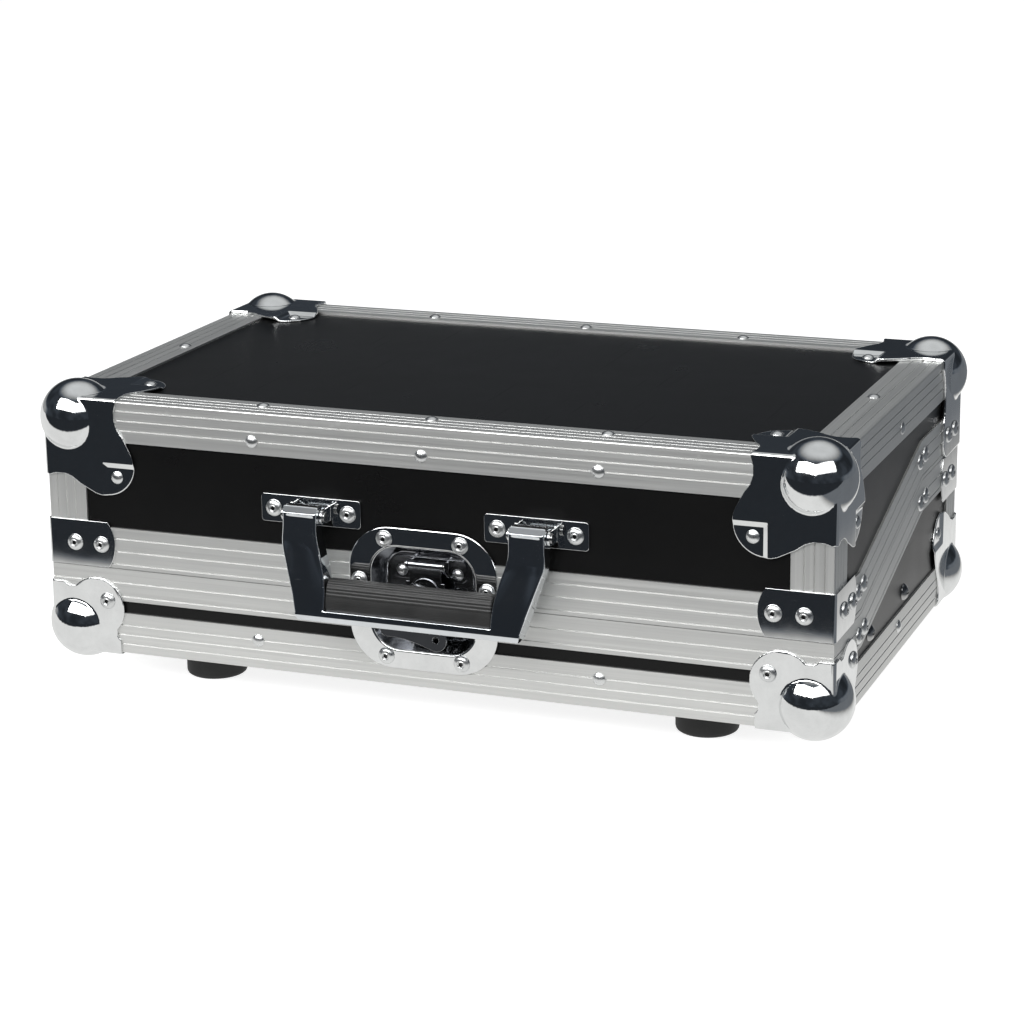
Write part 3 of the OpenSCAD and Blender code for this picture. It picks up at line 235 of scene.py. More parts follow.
def laminate():
    """Black laminate with a fine pebbled grain, faint mottling and a few long hairline scuffs."""
    m = Shader("black_laminate")
    m.set(Metallic=0.0, Specular_IOR_Level=0.18)
    mottle = m.noise(14, 4, rough=0.6)
    black = m.mix(m.span(mottle, 0.3, 0.7, 0, 1), (0.0034, 0.0034, 0.0035), (0.0040, 0.0040, 0.0040))
    m.link(black, "Base Color")
    grain = m.cells(1500, "SMOOTH_F1")
    fine = m.noise(2600, 2)
    scuff = m.noise(1, 3, vector=m.mapped((260, 9, 260), (0, 0, 0.4)), rough=0.4)
    scuffs = m.span(scuff, 0.68, 0.74, 0, 1, True)
    rough = m.math("ADD", m.span(mottle, 0.3, 0.7, 0.27, 0.31), m.math("MULTIPLY", scuffs, 0.03))
    m.link(rough, "Roughness")
    first = m.bump(grain, 0.16, 0.00012)
    m.link(m.bump(fine, 0.10, 0.00006, first), "Normal")
    return m.material


def drawn_out(across, along, axis):
    """A texture scale that draws its pattern out into lines along one axis."""
    scale = [across] * 3
    scale[axis] = along
    return tuple(scale)


def extrusion(name, along, slanted=False):
    """Natural anodised aluminium with die lines along one axis and light handling marks; slanted
    turns the lines with the slope of the parting line."""
    m = Shader(name)
    m.set(Metallic=1.0)
    scale = drawn_out(620.0, 3.0, along)
    fine_scale = drawn_out(2400.0, 14.0, along)
    drawn = m.mapped(scale)
    fine = m.mapped(fine_scale)
    if slanted:
        depth = m.axis(1)
        low = (SLOPE_START + SHIFT_Y) / 1000
        high = (SLOPE_END + SHIFT_Y) / 1000
        inside = m.math("MULTIPLY", m.math("GREATER_THAN", depth, low), m.math("LESS_THAN", depth, high))
        drawn = m.mix_vector(inside, drawn, m.mapped(scale, (-SLOPE, 0, 0)))
        fine = m.mix_vector(inside, fine, m.mapped(fine_scale, (-SLOPE, 0, 0)))
    lines = m.noise(1, 3, vector=drawn, rough=0.65)
    hair = m.noise(1, 2, vector=fine)
    cloud = m.noise(22, 3)
    tone = m.math("ADD", m.math("MULTIPLY", lines, 0.75), m.math("MULTIPLY", cloud, 0.25))
    m.link(m.mix(m.span(tone, 0.35, 0.65, 0, 1), (0.68, 0.683, 0.67), (0.755, 0.758, 0.742)), "Base Color")
    marks = m.span(m.noise(90, 5, rough=0.7), 0.62, 0.70, 0, 1, True)
    rough = m.math("ADD", m.span(lines, 0.3, 0.7, 0.44, 0.51), m.math("MULTIPLY", marks, 0.05))
    m.link(rough, "Roughness")
    first = m.bump(lines, 0.12, 0.00008)
    m.link(m.bump(hair, 0.14, 0.00004, first), "Normal")
    return m.material


def plated(name, colour, low, high, wave=0.5):
    """Plated steel: clear reflections with wiping marks, fine scratches and the wave of pressed sheet."""
    m = Shader(name)
    m.set(Metallic=1.0)
    smear = m.noise(60, 4, vector=m.mapped((1, 1.6, 1)), rough=0.6)
    m.link(m.mix(m.span(smear, 0.35, 0.7, 0, 1), colour, grey(0.90, colour)), "Base Color")
    scratch_a = m.noise(1, 2, vector=m.mapped((1900, 30, 1900), (0.3, 0.2, 0.7)))
    scratch_b = m.noise(1, 2, vector=m.mapped((40, 1700, 1700), (0.1, 0.5, -0.4)))
    hair_a = m.span(scratch_a, 0.70, 0.76, 0, 1, True)
    hair_b = m.span(scratch_b, 0.71, 0.77, 0, 1, True)
    hair = m.math("MAXIMUM", hair_a, hair_b)
    rough = m.math("ADD", m.span(smear, 0.35, 0.7, low, high), m.math("MULTIPLY", hair, 0.10))
    m.link(rough, "Roughness")
    first = m.bump(m.noise(42, 1), wave * 0.25, 0.00060)
    m.link(m.bump(hair, 0.05, 0.00003, first), "Normal")
    return m.material


def moulded(name, dark, light, rough_low, rough_high, scale, strength):
    """Moulded plastic or rubber with an eroded mould texture."""
    m = Shader(name)
    m.set(Metallic=0.0, Specular_IOR_Level=0.45)
    cloud = m.noise(35, 4, rough=0.65)
    m.link(m.mix(m.span(cloud, 0.35, 0.7, 0, 1), grey(dark), grey(light)), "Base Color")
    m.link(m.span(cloud, 0.3, 0.7, rough_low, rough_high), "Roughness")
    first = m.bump(m.cells(scale, "SMOOTH_F1"), strength, 0.00012)
    m.link(m.bump(m.noise(scale * 2.2, 2), strength * 0.6, 0.00005, first), "Normal")
    return m.material


def foam_material():
    """Open-cell foam: a soft grey skeleton, with its pores darkened as painted shade."""
    m = Shader("open_cell_foam")
    m.set(Metallic=0.0, Specular_IOR_Level=0.15, Sheen_Weight=0.25, Sheen_Roughness=0.6)
    pores = m.cells(900, "SMOOTH_F1")
    large = m.cells(420)
    cloud = m.noise(18, 3)
    # The colour is darkest in the middle of each pore: painted shade inside the pores
    tone = m.math("MULTIPLY", m.span(pores, 0.0, 0.55, 0.25, 1.0), m.span(cloud, 0.3, 0.7, 0.8, 1.1))
    m.link(m.mix(tone, grey(0.010), grey(0.060, (1, 1, 1.05))), "Base Color")
    m.set(Roughness=0.95)
    first = m.bump(pores, 0.9, 0.0007)
    m.link(m.bump(large, 0.35, 0.0006, first), "Normal")
    return m.material


black = laminate()
along_x = extrusion("drawn_aluminium_x", 0)
along_y = extrusion("drawn_aluminium_y", 1)
along_z = extrusion("drawn_aluminium_z", 2)
along_rim = extrusion("drawn_aluminium_rim", 1, slanted=True)
chrome = plated("bright_chrome", (0.80, 0.81, 0.81), 0.045, 0.085, 0.3)
handle_chrome = plated("handle_chrome", (0.75, 0.775, 0.80), 0.05, 0.09, 0.5)
# Darker, rougher chrome: the latch link and bracket, and painted shade in the hollow of the dish
dim_chrome_and_hollow_shade = plated("dim_chrome_and_hollow_shade", (0.40, 0.41, 0.43), 0.12, 0.20, 0.4)
rivet_chrome = plated("rivet_chrome", (0.74, 0.75, 0.75), 0.25, 0.33, 0.2)
nickel = plated("dark_nickel", (0.42, 0.42, 0.42), 0.12, 0.20, 0.3)
# Near-black plating for the faces of the latch wing: painted shade
wing_nickel_painted_shade = plated("wing_nickel_painted_shade", (0.045, 0.047, 0.052), 0.10, 0.17, 0.3)
# Near-black metal inside the mandrel holes of the blind rivets: painted shade
hole_painted_shade = plated("hole_shade", (0.06, 0.06, 0.06), 0.3, 0.4, 0.1)
grip_plastic = moulded("grip_plastic", 0.0085, 0.012, 0.40, 0.50, 1300, 0.45)
black_rubber = moulded("black_rubber", 0.010, 0.016, 0.60, 0.75, 900, 0.35)
foam_grey = foam_material()

ALUMINIUM = {
    "lid_front_edge": along_x, "lid_back_edge": along_x, "base_front_edge": along_x,
    "base_back_edge": along_x, "lid_left_edge": along_y, "lid_right_edge": along_y,
    "base_left_edge": along_y, "base_right_edge": along_y, "lid_corner_posts": along_z,
    "base_corner_posts": along_z, "lid_front_rim": along_x, "lid_back_rim": along_x,
    "base_front_rim": along_x, "base_back_rim": along_x, "lid_left_rim": along_rim,
    "lid_right_rim": along_rim, "base_left_rim": along_rim, "base_right_rim": along_rim,
}
BY_NODE = {
    "handle_bail": handle_chrome,
    "latch_wing": wing_nickel_painted_shade, "latch_link": dim_chrome_and_hollow_shade, "latch_bracket": dim_chrome_and_hollow_shade,
}
BY_SLOT = {
    "laminate": black, "chrome": chrome, "dark_hardware": nickel, "grip": grip_plastic,
    "rubber": black_rubber, "foam": foam_grey,
}
SLOTS = {part["node"]: part["material_slot"] for part in frame["record"]["subparts"]}


def finish_of(name):
    if name in ALUMINIUM:
        return ALUMINIUM[name]
    if name in BY_NODE:
        return BY_NODE[name]
    if "rivets" in name:
        return rivet_chrome
    return BY_SLOT[SLOTS[name]]


def paint(piece, material):
    piece.data.materials.clear()
    piece.data.materials.append(material)


for name, node in nodes.items():
    paint(node, finish_of(name))


# Pieces

# Points of a solid closer than this, in metres, are one point
MERGE = 2e-6


def add_piece(name, mesh, body, material):
    """Links a mesh whose points are already in the model's frame, and lets it ride on a body."""
    piece = bpy.data.objects.new(name, mesh)
    bpy.context.scene.collection.objects.link(piece)
    paint(piece, material)
    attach(piece, body)
    return piece


def smooth_by_angle(mesh, degrees):
    for polygon in mesh.polygons:
        polygon.use_smooth = True
    mesh.set_sharp_from_angle(angle=math.radians(degrees))


def finished(work, name, degrees):
    """The mesh of a bmesh, smooth except at the edges that are sharper than an angle."""
    mesh = bpy.data.meshes.new(name)
    work.to_mesh(mesh)
    work.free()
    smooth_by_angle(mesh, degrees)
    return mesh


def weigh_normals(piece):
    """Lets the large faces of a piece decide its shading, so that they look plane."""
    weighted = piece.modifiers.new("weighted", "WEIGHTED_NORMAL")
    weighted.keep_sharp = True


def formed(node_name, width_mm, segments=2):
    """A copy of a solid with its hard edges rounded, which stands for that solid."""
    node = nodes[node_name]
    level, hard = math.radians(0.6), math.radians(28)
    work = bmesh.new()
    work.from_mesh(node.data)
    bmesh.ops.remove_doubles(work, verts=work.verts, dist=MERGE)
    bmesh.ops.dissolve_limit(
        work, angle_limit=level, use_dissolve_boundaries=False,
        verts=work.verts, edges=work.edges, delimit={"NORMAL"})
    sharp = [e for e in work.edges if len(e.link_faces) == 2 and e.calc_face_angle(0) > hard]
    bmesh.ops.bevel(
        work, geom=sharp, offset=width_mm / 1000, offset_type="OFFSET", segments=segments,
        profile=0.5, affect="EDGES", clamp_overlap=True, loop_slide=False)
    mesh = finished(work, node_name + "_formed", 40)
    piece = add_piece(node_name + "_formed", mesh, node["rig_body"], finish_of(node_name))
    weigh_normals(piece)
    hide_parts(node_name)
    return piece


def evaluated_mesh(piece):
    """The mesh of a piece with its modifiers applied."""
    graph = bpy.context.evaluated_depsgraph_get()
    graph.update()
    return bpy.data.meshes.new_from_object(piece.evaluated_get(graph))


def modified_mesh(mesh, *modifiers):
    """The mesh after some modifiers, each given as its kind and its settings."""
    scratch = bpy.data.objects.new("scratch", mesh)
    bpy.context.scene.collection.objects.link(scratch)
    for kind, settings in modifiers:
        modifier = scratch.modifiers.new(kind.lower(), kind)
        for key, value in settings.items():
            setattr(modifier, key, value)
    result = evaluated_mesh(scratch)
    bpy.data.objects.remove(scratch)
    return result


def read_points(mesh, what="co"):
    values = numpy.empty(len(mesh.vertices) * 3)
    mesh.vertices.foreach_get(what, values)
    return values.reshape(-1, 3)


def write_points(mesh, points):
    mesh.vertices.foreach_set("co", points.ravel())
    mesh.update()


def thinned(mesh, keep, normals):
    """The mesh with a share of its faces, shaded with the given normals of the dense mesh."""
    tree = KDTree(len(mesh.vertices))
    for index, point in enumerate(read_points(mesh)):
        tree.insert(point, index)
    tree.balance()
    light = modified_mesh(mesh, ("DECIMATE", {"ratio": keep, "use_collapse_triangulate": True}))
    at_vertex = [Vector(normals[tree.find(v.co)[1]]) for v in light.vertices]
    flat = math.cos(math.radians(0.6))
    corners = []
    for polygon in light.polygons:
        polygon.use_smooth = True
        middle = polygon.center
        facing = polygon.normal
        inner = [middle.lerp(light.vertices[i].co, 0.7) for i in polygon.vertices]
        level = all(facing.dot(Vector(normals[tree.find(p)[1]])) > flat for p in inner)
        corners += [facing.copy() if level else at_vertex[i] for i in polygon.vertices]
    light.normals_split_custom_set(corners)
    return light


# Ball of a corner in millimetres; in metres, how far a point may lie off it and still be carried
# onto it, and the width over which that fades
BALL_R = 26.99
BALL_INSET = 17.0
BALL_REACH = 0.00020
BALL_FADE = 0.00014


def pressed(node_name, voxel_mm, passes, keep, balls=(), shape=None, after=0):
    """A solid turned into soft pressed metal: remeshed finely, its edges melted by some smoothing,
    reshaped, made truly round at its balls, and cleared of the points that add nothing."""
    node = nodes[node_name]
    mesh = modified_mesh(
        node.data.copy(),
        ("REMESH", {"mode": "VOXEL", "voxel_size": voxel_mm / 1000, "adaptivity": 0}),
        ("SMOOTH", {"factor": 0.5, "iterations": passes}))
    # Reshaped twice, so that the points end close to the exact form
    for smoothing in (after, 2) if shape else ():
        points = read_points(mesh)
        shape(points)
        write_points(mesh, points)
        mesh = modified_mesh(mesh, ("SMOOTH", {"factor": 0.5, "iterations": smoothing}))
    points = read_points(mesh)
    normals = read_points(mesh, "normal")
    for centre in balls:
        away = points - numpy.array(centre)
        radius = numpy.linalg.norm(away, axis=1)
        ray = away / radius[:, None]
        off = numpy.abs(radius - BALL_R / 1000)
        weight = numpy.clip((BALL_REACH - off) / BALL_FADE, 0, 1)[:, None]
        points += ray * (BALL_R / 1000 - radius)[:, None] * weight
        normals = normals * (1 - weight) + ray * weight
    normals /= numpy.linalg.norm(normals, axis=1)[:, None]
    write_points(mesh, points)
    light = thinned(mesh, keep, normals)
    light.name = node_name + "_pressed"
    piece = add_piece(node_name + "_pressed", light, node["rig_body"], finish_of(node_name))
    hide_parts(node_name)


def ball_centres(front, low):
    y = BALL_INSET if front else CASE_D - BALL_INSET
    z = BALL_INSET if low else CASE_H - BALL_INSET
    return [place(side * (CASE_W / 2 - BALL_INSET), y, z) for side in (-1, 1)]


pressed("lid_front_corners", 0.5, 4, 0.16, ball_centres(True, False))
pressed("lid_back_corners", 0.6, 4, 0.14, ball_centres(False, False))
pressed("base_front_corners", 0.5, 4, 0.16, ball_centres(True, True))
pressed("base_back_corners", 0.6, 4, 0.14, ball_centres(False, True))
formed("handle_brackets", 0.7, 3)

# The wing's faces get a near-black metal as painted shade and its edges the bright chrome as a painted
# highlight; a face has at least this much of its normal along y
LEVEL_FACE = 0.97
wing = formed("latch_wing", 0.6, 3)
wing.data.materials.append(chrome)
for polygon in wing.data.polygons:
    if abs(polygon.normal.y) < LEVEL_FACE:
        polygon.material_index = 1

for name in ("lid_corner_braces", "base_corner_braces", "latch_link", "latch_bracket",
             "base_hinge_leaves", "lid_hinge_leaves"):
    formed(name, 0.35)
for name in ("latch_hook", "latch_keeper", "side_screws", "foot_screws", "handle_pins"):
    formed(name, 0.2)


# Handle, in millimetres from its pin axis: x to the right, y back, z up

HANDLE = place(0, -11, PARTING_FRONT + 56.5)
# The arms' heads and their bend: height, and how far forward the front lies there
HEAD_TOP, HEAD_FRONT = 7.5, -8.8
ELBOW, ELBOW_FRONT = -18, -10
# The lower bar: how far it hangs down and stands out, its depth, half its width, and its lean
DROP = 72.5
BAR_OUT = 22
BAR_DEPTH = 17.5
FOOT_HALF = 79.5
LOW_ROUND = 3
LEAN = math.atan2(BAR_OUT + ELBOW_FRONT, DROP + ELBOW - 4)
LOW_FRONT = (-BAR_OUT - LOW_ROUND * math.sin(LEAN), BAR_DEPTH * math.sin(LEAN) - DROP)
# Lines along the arms: heights, and at each height how far forward or outward the arm reaches
ARM_FRONT = ([-89.3, ELBOW, 29], [-28.0, ELBOW_FRONT, -8.15])
ARM_INNER = ([-49, -33, -14, HEAD_TOP], [61, 64.2, 70.25, 70.25])
ARM_OUTER = ([-88.5, ELBOW, -7, HEAD_TOP], [74.36, 97, 95.75, 95.75])
# Rounding of the arms' front edges along their height
SOFT_INNER = ([-66, -62], [0.3, 1.2])
SOFT_OUTER = ([-67, -52, 3, 7], [0.4, 2.2, 2.2, 1.0])
# The hollow front of the arms: its depth, how full its curve is, the width of both rims beside it,
# the heights where it ends and how softly it ends there
HOLLOW = 1.6
HOLLOW_CURVE = 2.4
RIMS = 3.4
HOLLOW_TOP, HOLLOW_TOP_FADE = 3.2, 2.4
HOLLOW_FOOT, HOLLOW_FOOT_FADE = -59, 42
# The heights between which the arms are reshaped, and half the length over which bends are eased
ARM_FOOT, ARM_TOP = -66, 6.8
EASE = 6
# How far off a side wall, or behind the front, a point may lie and still be carried onto it
WALL_REACH = 0.8
FRONT_REACH = 2.4
# The lower bar: its flat front between two heights, with a reach that is larger beside the grip
FLAT_FROM, FLAT_TO = 1.2, 7.8
FLAT_REACH, FLAT_REACH_END = 1.6, 2.5
GRIP_END = 60.5
# Its round lower edges, the front one stretched upwards, and the height up to which they matter
BAR_ZONE = 20
BAR_ROUND = 4.6
BAR_STRETCH = 1.15
BAR_BACK_ROUND = 2.5
# The bail's round outer corners: radius, how far in the centre lies as a share of it, and the angle
# that the slanted side faces; and the bevel of the heads
CORNER_ROUND = 7
CORNER_IN = 0.7292
SIDE_FACES = -0.3107
HEAD_BEVEL = 3.8


def rounded_edge(a, b, centre, radius, inside, least, reach=math.inf):
    """Carries the points near an edge onto an arc: a and b are two coordinates, changed in place."""
    da = a - centre[0]
    db = b - centre[1]
    far = numpy.hypot(da, db)
    near = inside(da, db) & (far > least) & (far < reach)
    k = numpy.where(near, radius / numpy.maximum(far, 1e-6), 1)
    a[:] = centre[0] + da * k
    b[:] = centre[1] + db * k


def both_below(a, b):
    return (a < 0) & (b < 0)


def behind_below(a, b):
    return (a > 0) & (b < 0)


def outer_corner(a, b):
    """Between straight down and the way that the arm's slanted side faces."""
    way = numpy.arctan2(b, a)
    return (way > -math.pi / 2) & (way < SIDE_FACES)


def eased(z, heights, values):
    """A line through some points with its bends eased."""
    steps = numpy.linspace(-EASE, EASE, 9)
    return sum(numpy.interp(z + d, heights, values) for d in steps) / 9


def bail_shape(points):
    """Gives the bail its hollow arms, its round lower bar and its round corners."""
    origin = numpy.array(HANDLE) * 1000
    h = points * 1000 - origin
    side = numpy.sign(h[:, 0])
    x, y, z = numpy.abs(h[:, 0]), h[:, 1].copy(), h[:, 2].copy()
    # Hollow front of the arms, between a narrow inner edge and a wider outer edge
    front = eased(z, *ARM_FRONT)
    inner = eased(z, *ARM_INNER)
    outer = eased(z, *ARM_OUTER)
    deep = y - front
    ends = numpy.clip((HOLLOW_TOP - z) / HOLLOW_TOP_FADE, 0, 1)
    ends *= numpy.clip((z - HOLLOW_FOOT) / HOLLOW_FOOT_FADE, 0, 1)
    ends *= ends * (3 - 2 * ends)
    on_arm = (z > ARM_FOOT) & (z < ARM_TOP) & (deep > -1)
    for wall, way, softness in ((inner, 1, SOFT_INNER), (outer, -1, SOFT_OUTER)):
        soft = numpy.interp(z, *softness)
        gap = (x - wall) * way
        own = on_arm & (gap > -1) & (gap < (outer - inner) / 2)
        # Plane side walls
        gap = numpy.where(own & (numpy.abs(gap) < WALL_REACH) & (deep > soft), 0, gap)
        # The front sinks to the hollow's floor, and on the rim to the arc of the rounded edge
        across = numpy.clip((gap - soft) / (outer - inner - RIMS) * 2, 0, 1)
        bowl = HOLLOW * (1 - (1 - across) ** HOLLOW_CURVE) * ends
        run = numpy.clip(soft - gap, 0, None)
        arc = soft - numpy.sqrt(numpy.clip(soft ** 2 - run ** 2, 0, None))
        sunk = own & (deep < FRONT_REACH) & (((gap > 1.1) & (deep > 0.25)) | (gap > soft))
        deep = numpy.where(sunk, bowl + arc, deep)
        # All other points near the edge are carried onto its arc
        a, b = gap.copy(), deep.copy()
        rounded_edge(a, b, (soft, soft), soft, both_below, 0.5 * soft, 2 * soft)
        use = own & ~sunk
        gap, deep = numpy.where(use, a, gap), numpy.where(use, b, deep)
        x = numpy.where(own, wall + gap * way, x)
    y = front + deep
    # Flat front of the lower bar, with a large round lower edge; u goes back and v up along its lean
    sine, cosine = math.sin(LEAN), math.cos(LEAN)
    dy, dz = y - LOW_FRONT[0], z - LOW_FRONT[1]
    u, v = dy * cosine - dz * sine, dy * sine + dz * cosine
    reach = numpy.where(x > GRIP_END, FLAT_REACH_END, FLAT_REACH)
    flat = (x < outer - 1.0) & (u < reach) & (u > -1) & (v > FLAT_FROM) & (v < FLAT_TO)
    u = numpy.where(flat, 0.0, u)
    low = v < BAR_ZONE
    lower_u, lower_v = u[low], v[low] / BAR_STRETCH
    rounded_edge(lower_u, lower_v, (BAR_ROUND, BAR_ROUND), BAR_ROUND, both_below, 2.8, 7)
    lower_v *= BAR_STRETCH
    rounded_edge(lower_u, lower_v, (BAR_DEPTH - BAR_BACK_ROUND, BAR_BACK_ROUND), BAR_BACK_ROUND,
                 behind_below, 2, 5)
    u[low], v[low] = lower_u, lower_v
    y = LOW_FRONT[0] + u * cosine + v * sine
    z = LOW_FRONT[1] + v * cosine - u * sine
    # Round outer lower corners and a bevelled upper edge
    corner = (FOOT_HALF - CORNER_IN * CORNER_ROUND, CORNER_ROUND - DROP)
    rounded_edge(x, z, corner, CORNER_ROUND, outer_corner, CORNER_ROUND)
    over = HEAD_BEVEL - (y - HEAD_FRONT) - (HEAD_TOP - z)
    bevel = numpy.where(y < 0, numpy.clip(over, 0, None), 0) / 2
    y, z = y + bevel, z - bevel
    h[:, 0], h[:, 1], h[:, 2] = x * side, y, z
    points[:] = (h + origin) / 1000


pressed("handle_bail", 0.55, 3, 0.30, shape=bail_shape, after=7)


def leaning(x, u, v):
    """A point of the leaning lower part of the handle: u goes back and v up along the lean."""
    y = LOW_FRONT[0] + u * math.cos(LEAN) + v * math.sin(LEAN)
    z = LOW_FRONT[1] + v * math.cos(LEAN) - u * math.sin(LEAN)
    return HANDLE + Vector((x, y, z)) / 1000


def band(work, low, high):
    """Faces between two rings of the same number of points."""
    for k in range(len(low)):
        n = (k + 1) % len(low)
        work.faces.new((low[k], low[n], high[n], high[k]))


def grip_outline(inset):
    """Cross-section of the grip: a tucked front and back, a round top, ribs on its upper half."""
    radius, pitch, rib = 8.0, 2.42, 0.62
    flat = 15.0
    ribbed = 10.2
    tuck_in, tuck_reach = 1.7, 10.0
    front, back, low = 0.8, 16.8, 8
    length = flat * 2 + math.pi * radius
    count = 150
    outline = []
    for k in range(count + 1):
        along = length * k / count
        other = min(along, length - along)
        notch = 0.0
        if other > ribbed:
            share = ((other - ribbed) / pitch) % 1.0
            notch = rib * (1 - math.sqrt(max(0.0, 1 - (2 * share - 1) ** 2)))
        drop = inset + notch
        tuck = tuck_in * max(0.0, 1 - other / tuck_reach) ** 2
        if along < flat:
            outline.append((front + drop + tuck, low + max(along, inset)))
        elif along > length - flat:
            outline.append((back - drop - tuck, low + max(length - along, inset)))
        else:
            a = math.pi * (1 - (along - flat) / (math.pi * radius))
            r = radius - drop
            outline.append((front + radius + r * math.cos(a), low + flat + r * math.sin(a)))
    return outline


def make_grip():
    """The grip along its length: stations from left to right, each with its inset at the ends."""
    work = bmesh.new()
    half = 60.8
    stations = [(-half, 1.1), (-half + 0.25, 0.5), (-half + 0.7, 0.12), (-half + 1.4, 0)]
    stations += [(-half + 1.4 + (2 * half - 2.8) * k / 12, 0) for k in range(1, 12)]
    stations += [(-x, inset) for x, inset in reversed(stations[:4])]
    rings = []
    for x, inset in stations:
        rings.append([work.verts.new(leaning(x, u, v)) for u, v in grip_outline(inset)])
    for low, high in zip(rings, rings[1:]):
        band(work, low, high)
    work.faces.new(rings[0])
    work.faces.new(reversed(rings[-1]))
    bmesh.ops.recalc_face_normals(work, faces=work.faces)
    mesh = finished(work, "ribbed_grip", 34)
    piece = add_piece("ribbed_grip", mesh, "handle", grip_plastic)
    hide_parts("handle_grip")


make_grip()


# Latch dish: one pressed shell, cut in two at the parting line

# Half width, half height and corner radius of the plate and of the mouth at the case face
PLATE = (54.8, 50.5, 31)
MOUTH = (38.5, 36.5, 20)
DISH_DEPTH = 14
# Half the gap between the two shells, and the depth from which a shell is painted darker as shade in its
# hollow, in millimetres
HALF_GAP = 0.2
HOLLOW_SHADE_DEPTH = 0.6


def round_ring(half_w, half_h, radius, steps=14):
    """Points of a rounded rectangle in x and z, the same number on each corner."""
    points = []
    for corner, (cx, cz) in enumerate(((1, 1), (-1, 1), (-1, -1), (1, -1))):
        for k in range(steps + 1):
            a = math.pi / 2 * (corner + k / steps)
            points.append((cx * (half_w - radius) + radius * math.cos(a),
                           cz * (half_h - radius) + radius * math.sin(a)))
    return points


def dish_rings():
    """Growth of the mouth's outline and depth behind the case face, from the rim's back to the
    middle of the floor, and back along the hidden side."""
    depth = DISH_DEPTH
    lean = 6.0 / depth
    wall = math.atan(1 / lean)
    rings = [("plate", 0, 0), ("plate", 0, -0.45), ("plate", -0.15, -0.85), ("plate", -0.5, -1.12),
             ("plate", -1.0, -1.2), ("mouth", 8, -1.2), ("mouth", 3, -1.2)]
    radius = 2.0
    start = radius * math.sin(wall) - lean * (radius * (1 - math.cos(wall)) - 1.2)
    for k in range(7):
        a = wall * k / 6
        rings.append(("mouth", start - radius * math.sin(a), -1.2 + radius * (1 - math.cos(a))))
    radius = 3.0
    inset = -lean * (depth - radius * (1 - math.cos(wall))) - radius * math.sin(wall)
    for k in range(9):
        a = wall * (1 - k / 8)
        rings.append(("mouth", inset + radius * math.sin(a), depth - radius * (1 - math.cos(a))))
    rings += [("mouth", -14, depth), ("mouth", -18, depth), ("mouth", -18, depth + 1.2),
              ("mouth", -4.8, depth + 1.2), ("mouth", 1.2, 0), ("mouth", 3, 0)]
    return rings


def make_dish(node_name, upper):
    """One half of the dish, cut off beside the parting line, with its hollow in a darker chrome as painted
    shade.
    """
    work = bmesh.new()
    rings = []
    for kind, grow, depth in dish_rings():
        half_w, half_h, radius = PLATE if kind == "plate" else MOUTH
        outline = round_ring(half_w + grow, half_h + grow, max(radius + grow, 1.5))
        rings.append([work.verts.new(place(x, depth, z + PARTING_FRONT)) for x, z in outline])
    for index, (low, high) in enumerate(zip(rings, rings[1:] + rings[:1])):
        if index != DISH_FLOOR:
            band(work, low, high)
    work.faces.new(rings[DISH_FLOOR])
    work.faces.new(rings[DISH_FLOOR + 1])
    side = 1 if upper else -1
    level = place(0, 0, PARTING_FRONT + HALF_GAP * side)
    cut = bmesh.ops.bisect_plane(
        work, geom=work.verts[:] + work.edges[:] + work.faces[:], dist=1e-7, plane_co=level,
        plane_no=(0, 0, -side), clear_outer=True)
    edges = [e for e in cut["geom_cut"] if isinstance(e, bmesh.types.BMEdge)]
    bmesh.ops.triangle_fill(work, edges=edges, use_beauty=True, use_dissolve=False)
    bmesh.ops.recalc_face_normals(work, faces=work.faces)
    mesh = finished(work, node_name + "_shell", 30)
    piece = add_piece(node_name + "_shell", mesh, nodes[node_name]["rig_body"],
                      finish_of(node_name))
    piece.data.materials.append(dim_chrome_and_hollow_shade)
    # Faces deeper than the case face get the darker chrome: painted shade in the hollow
    deep = place(0, HOLLOW_SHADE_DEPTH, 0).y
    for polygon in piece.data.polygons:
        if polygon.center.y > deep:
            polygon.material_index = 1
    weigh_normals(piece)
    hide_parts(node_name)


DISH_FLOOR = [ring[1:] for ring in dish_rings()].index((-18, DISH_DEPTH))
make_dish("latch_upper_dish", True)
make_dish("latch_lower_dish", False)


# Rivets

def islands(mesh):
    """The separate closed shells of a mesh, each as the lowest and the highest corner of its box."""
    work = bmesh.new()
    work.from_mesh(mesh)
    bmesh.ops.remove_doubles(work, verts=work.verts, dist=MERGE)
    left = set(work.verts)
    found = []
    while left:
        group = [left.pop()]
        for vertex in group:
            for edge in vertex.link_edges:
                other = edge.other_vert(vertex)
                if other in left:
                    left.remove(other)
                    group.append(other)
        points = [v.co for v in group]
        low = Vector([min(p[i] for p in points) for i in range(3)])
        high = Vector([max(p[i] for p in points) for i in range(3)])
        found.append((low, high))
    work.free()
    return sorted(found, key=lambda box: tuple(round(c, 5) for c in box[0]))


CASE_MIDDLE = place(0, CASE_D / 2, CASE_H / 2)


def seats(node_name):
    """Where each head of a node sits, with the axis that points out of the case."""
    result = []
    for low, high in islands(nodes[node_name].data):
        size = high - low
        axis = min(range(3), key=lambda i: size[i])
        centre = (low + high) / 2
        out = Vector((0, 0, 0))
        out[axis] = 1 if centre[axis] > CASE_MIDDLE[axis] else -1
        centre[axis] = low[axis] if out[axis] > 0 else high[axis]
        result.append((centre, out))
    return result


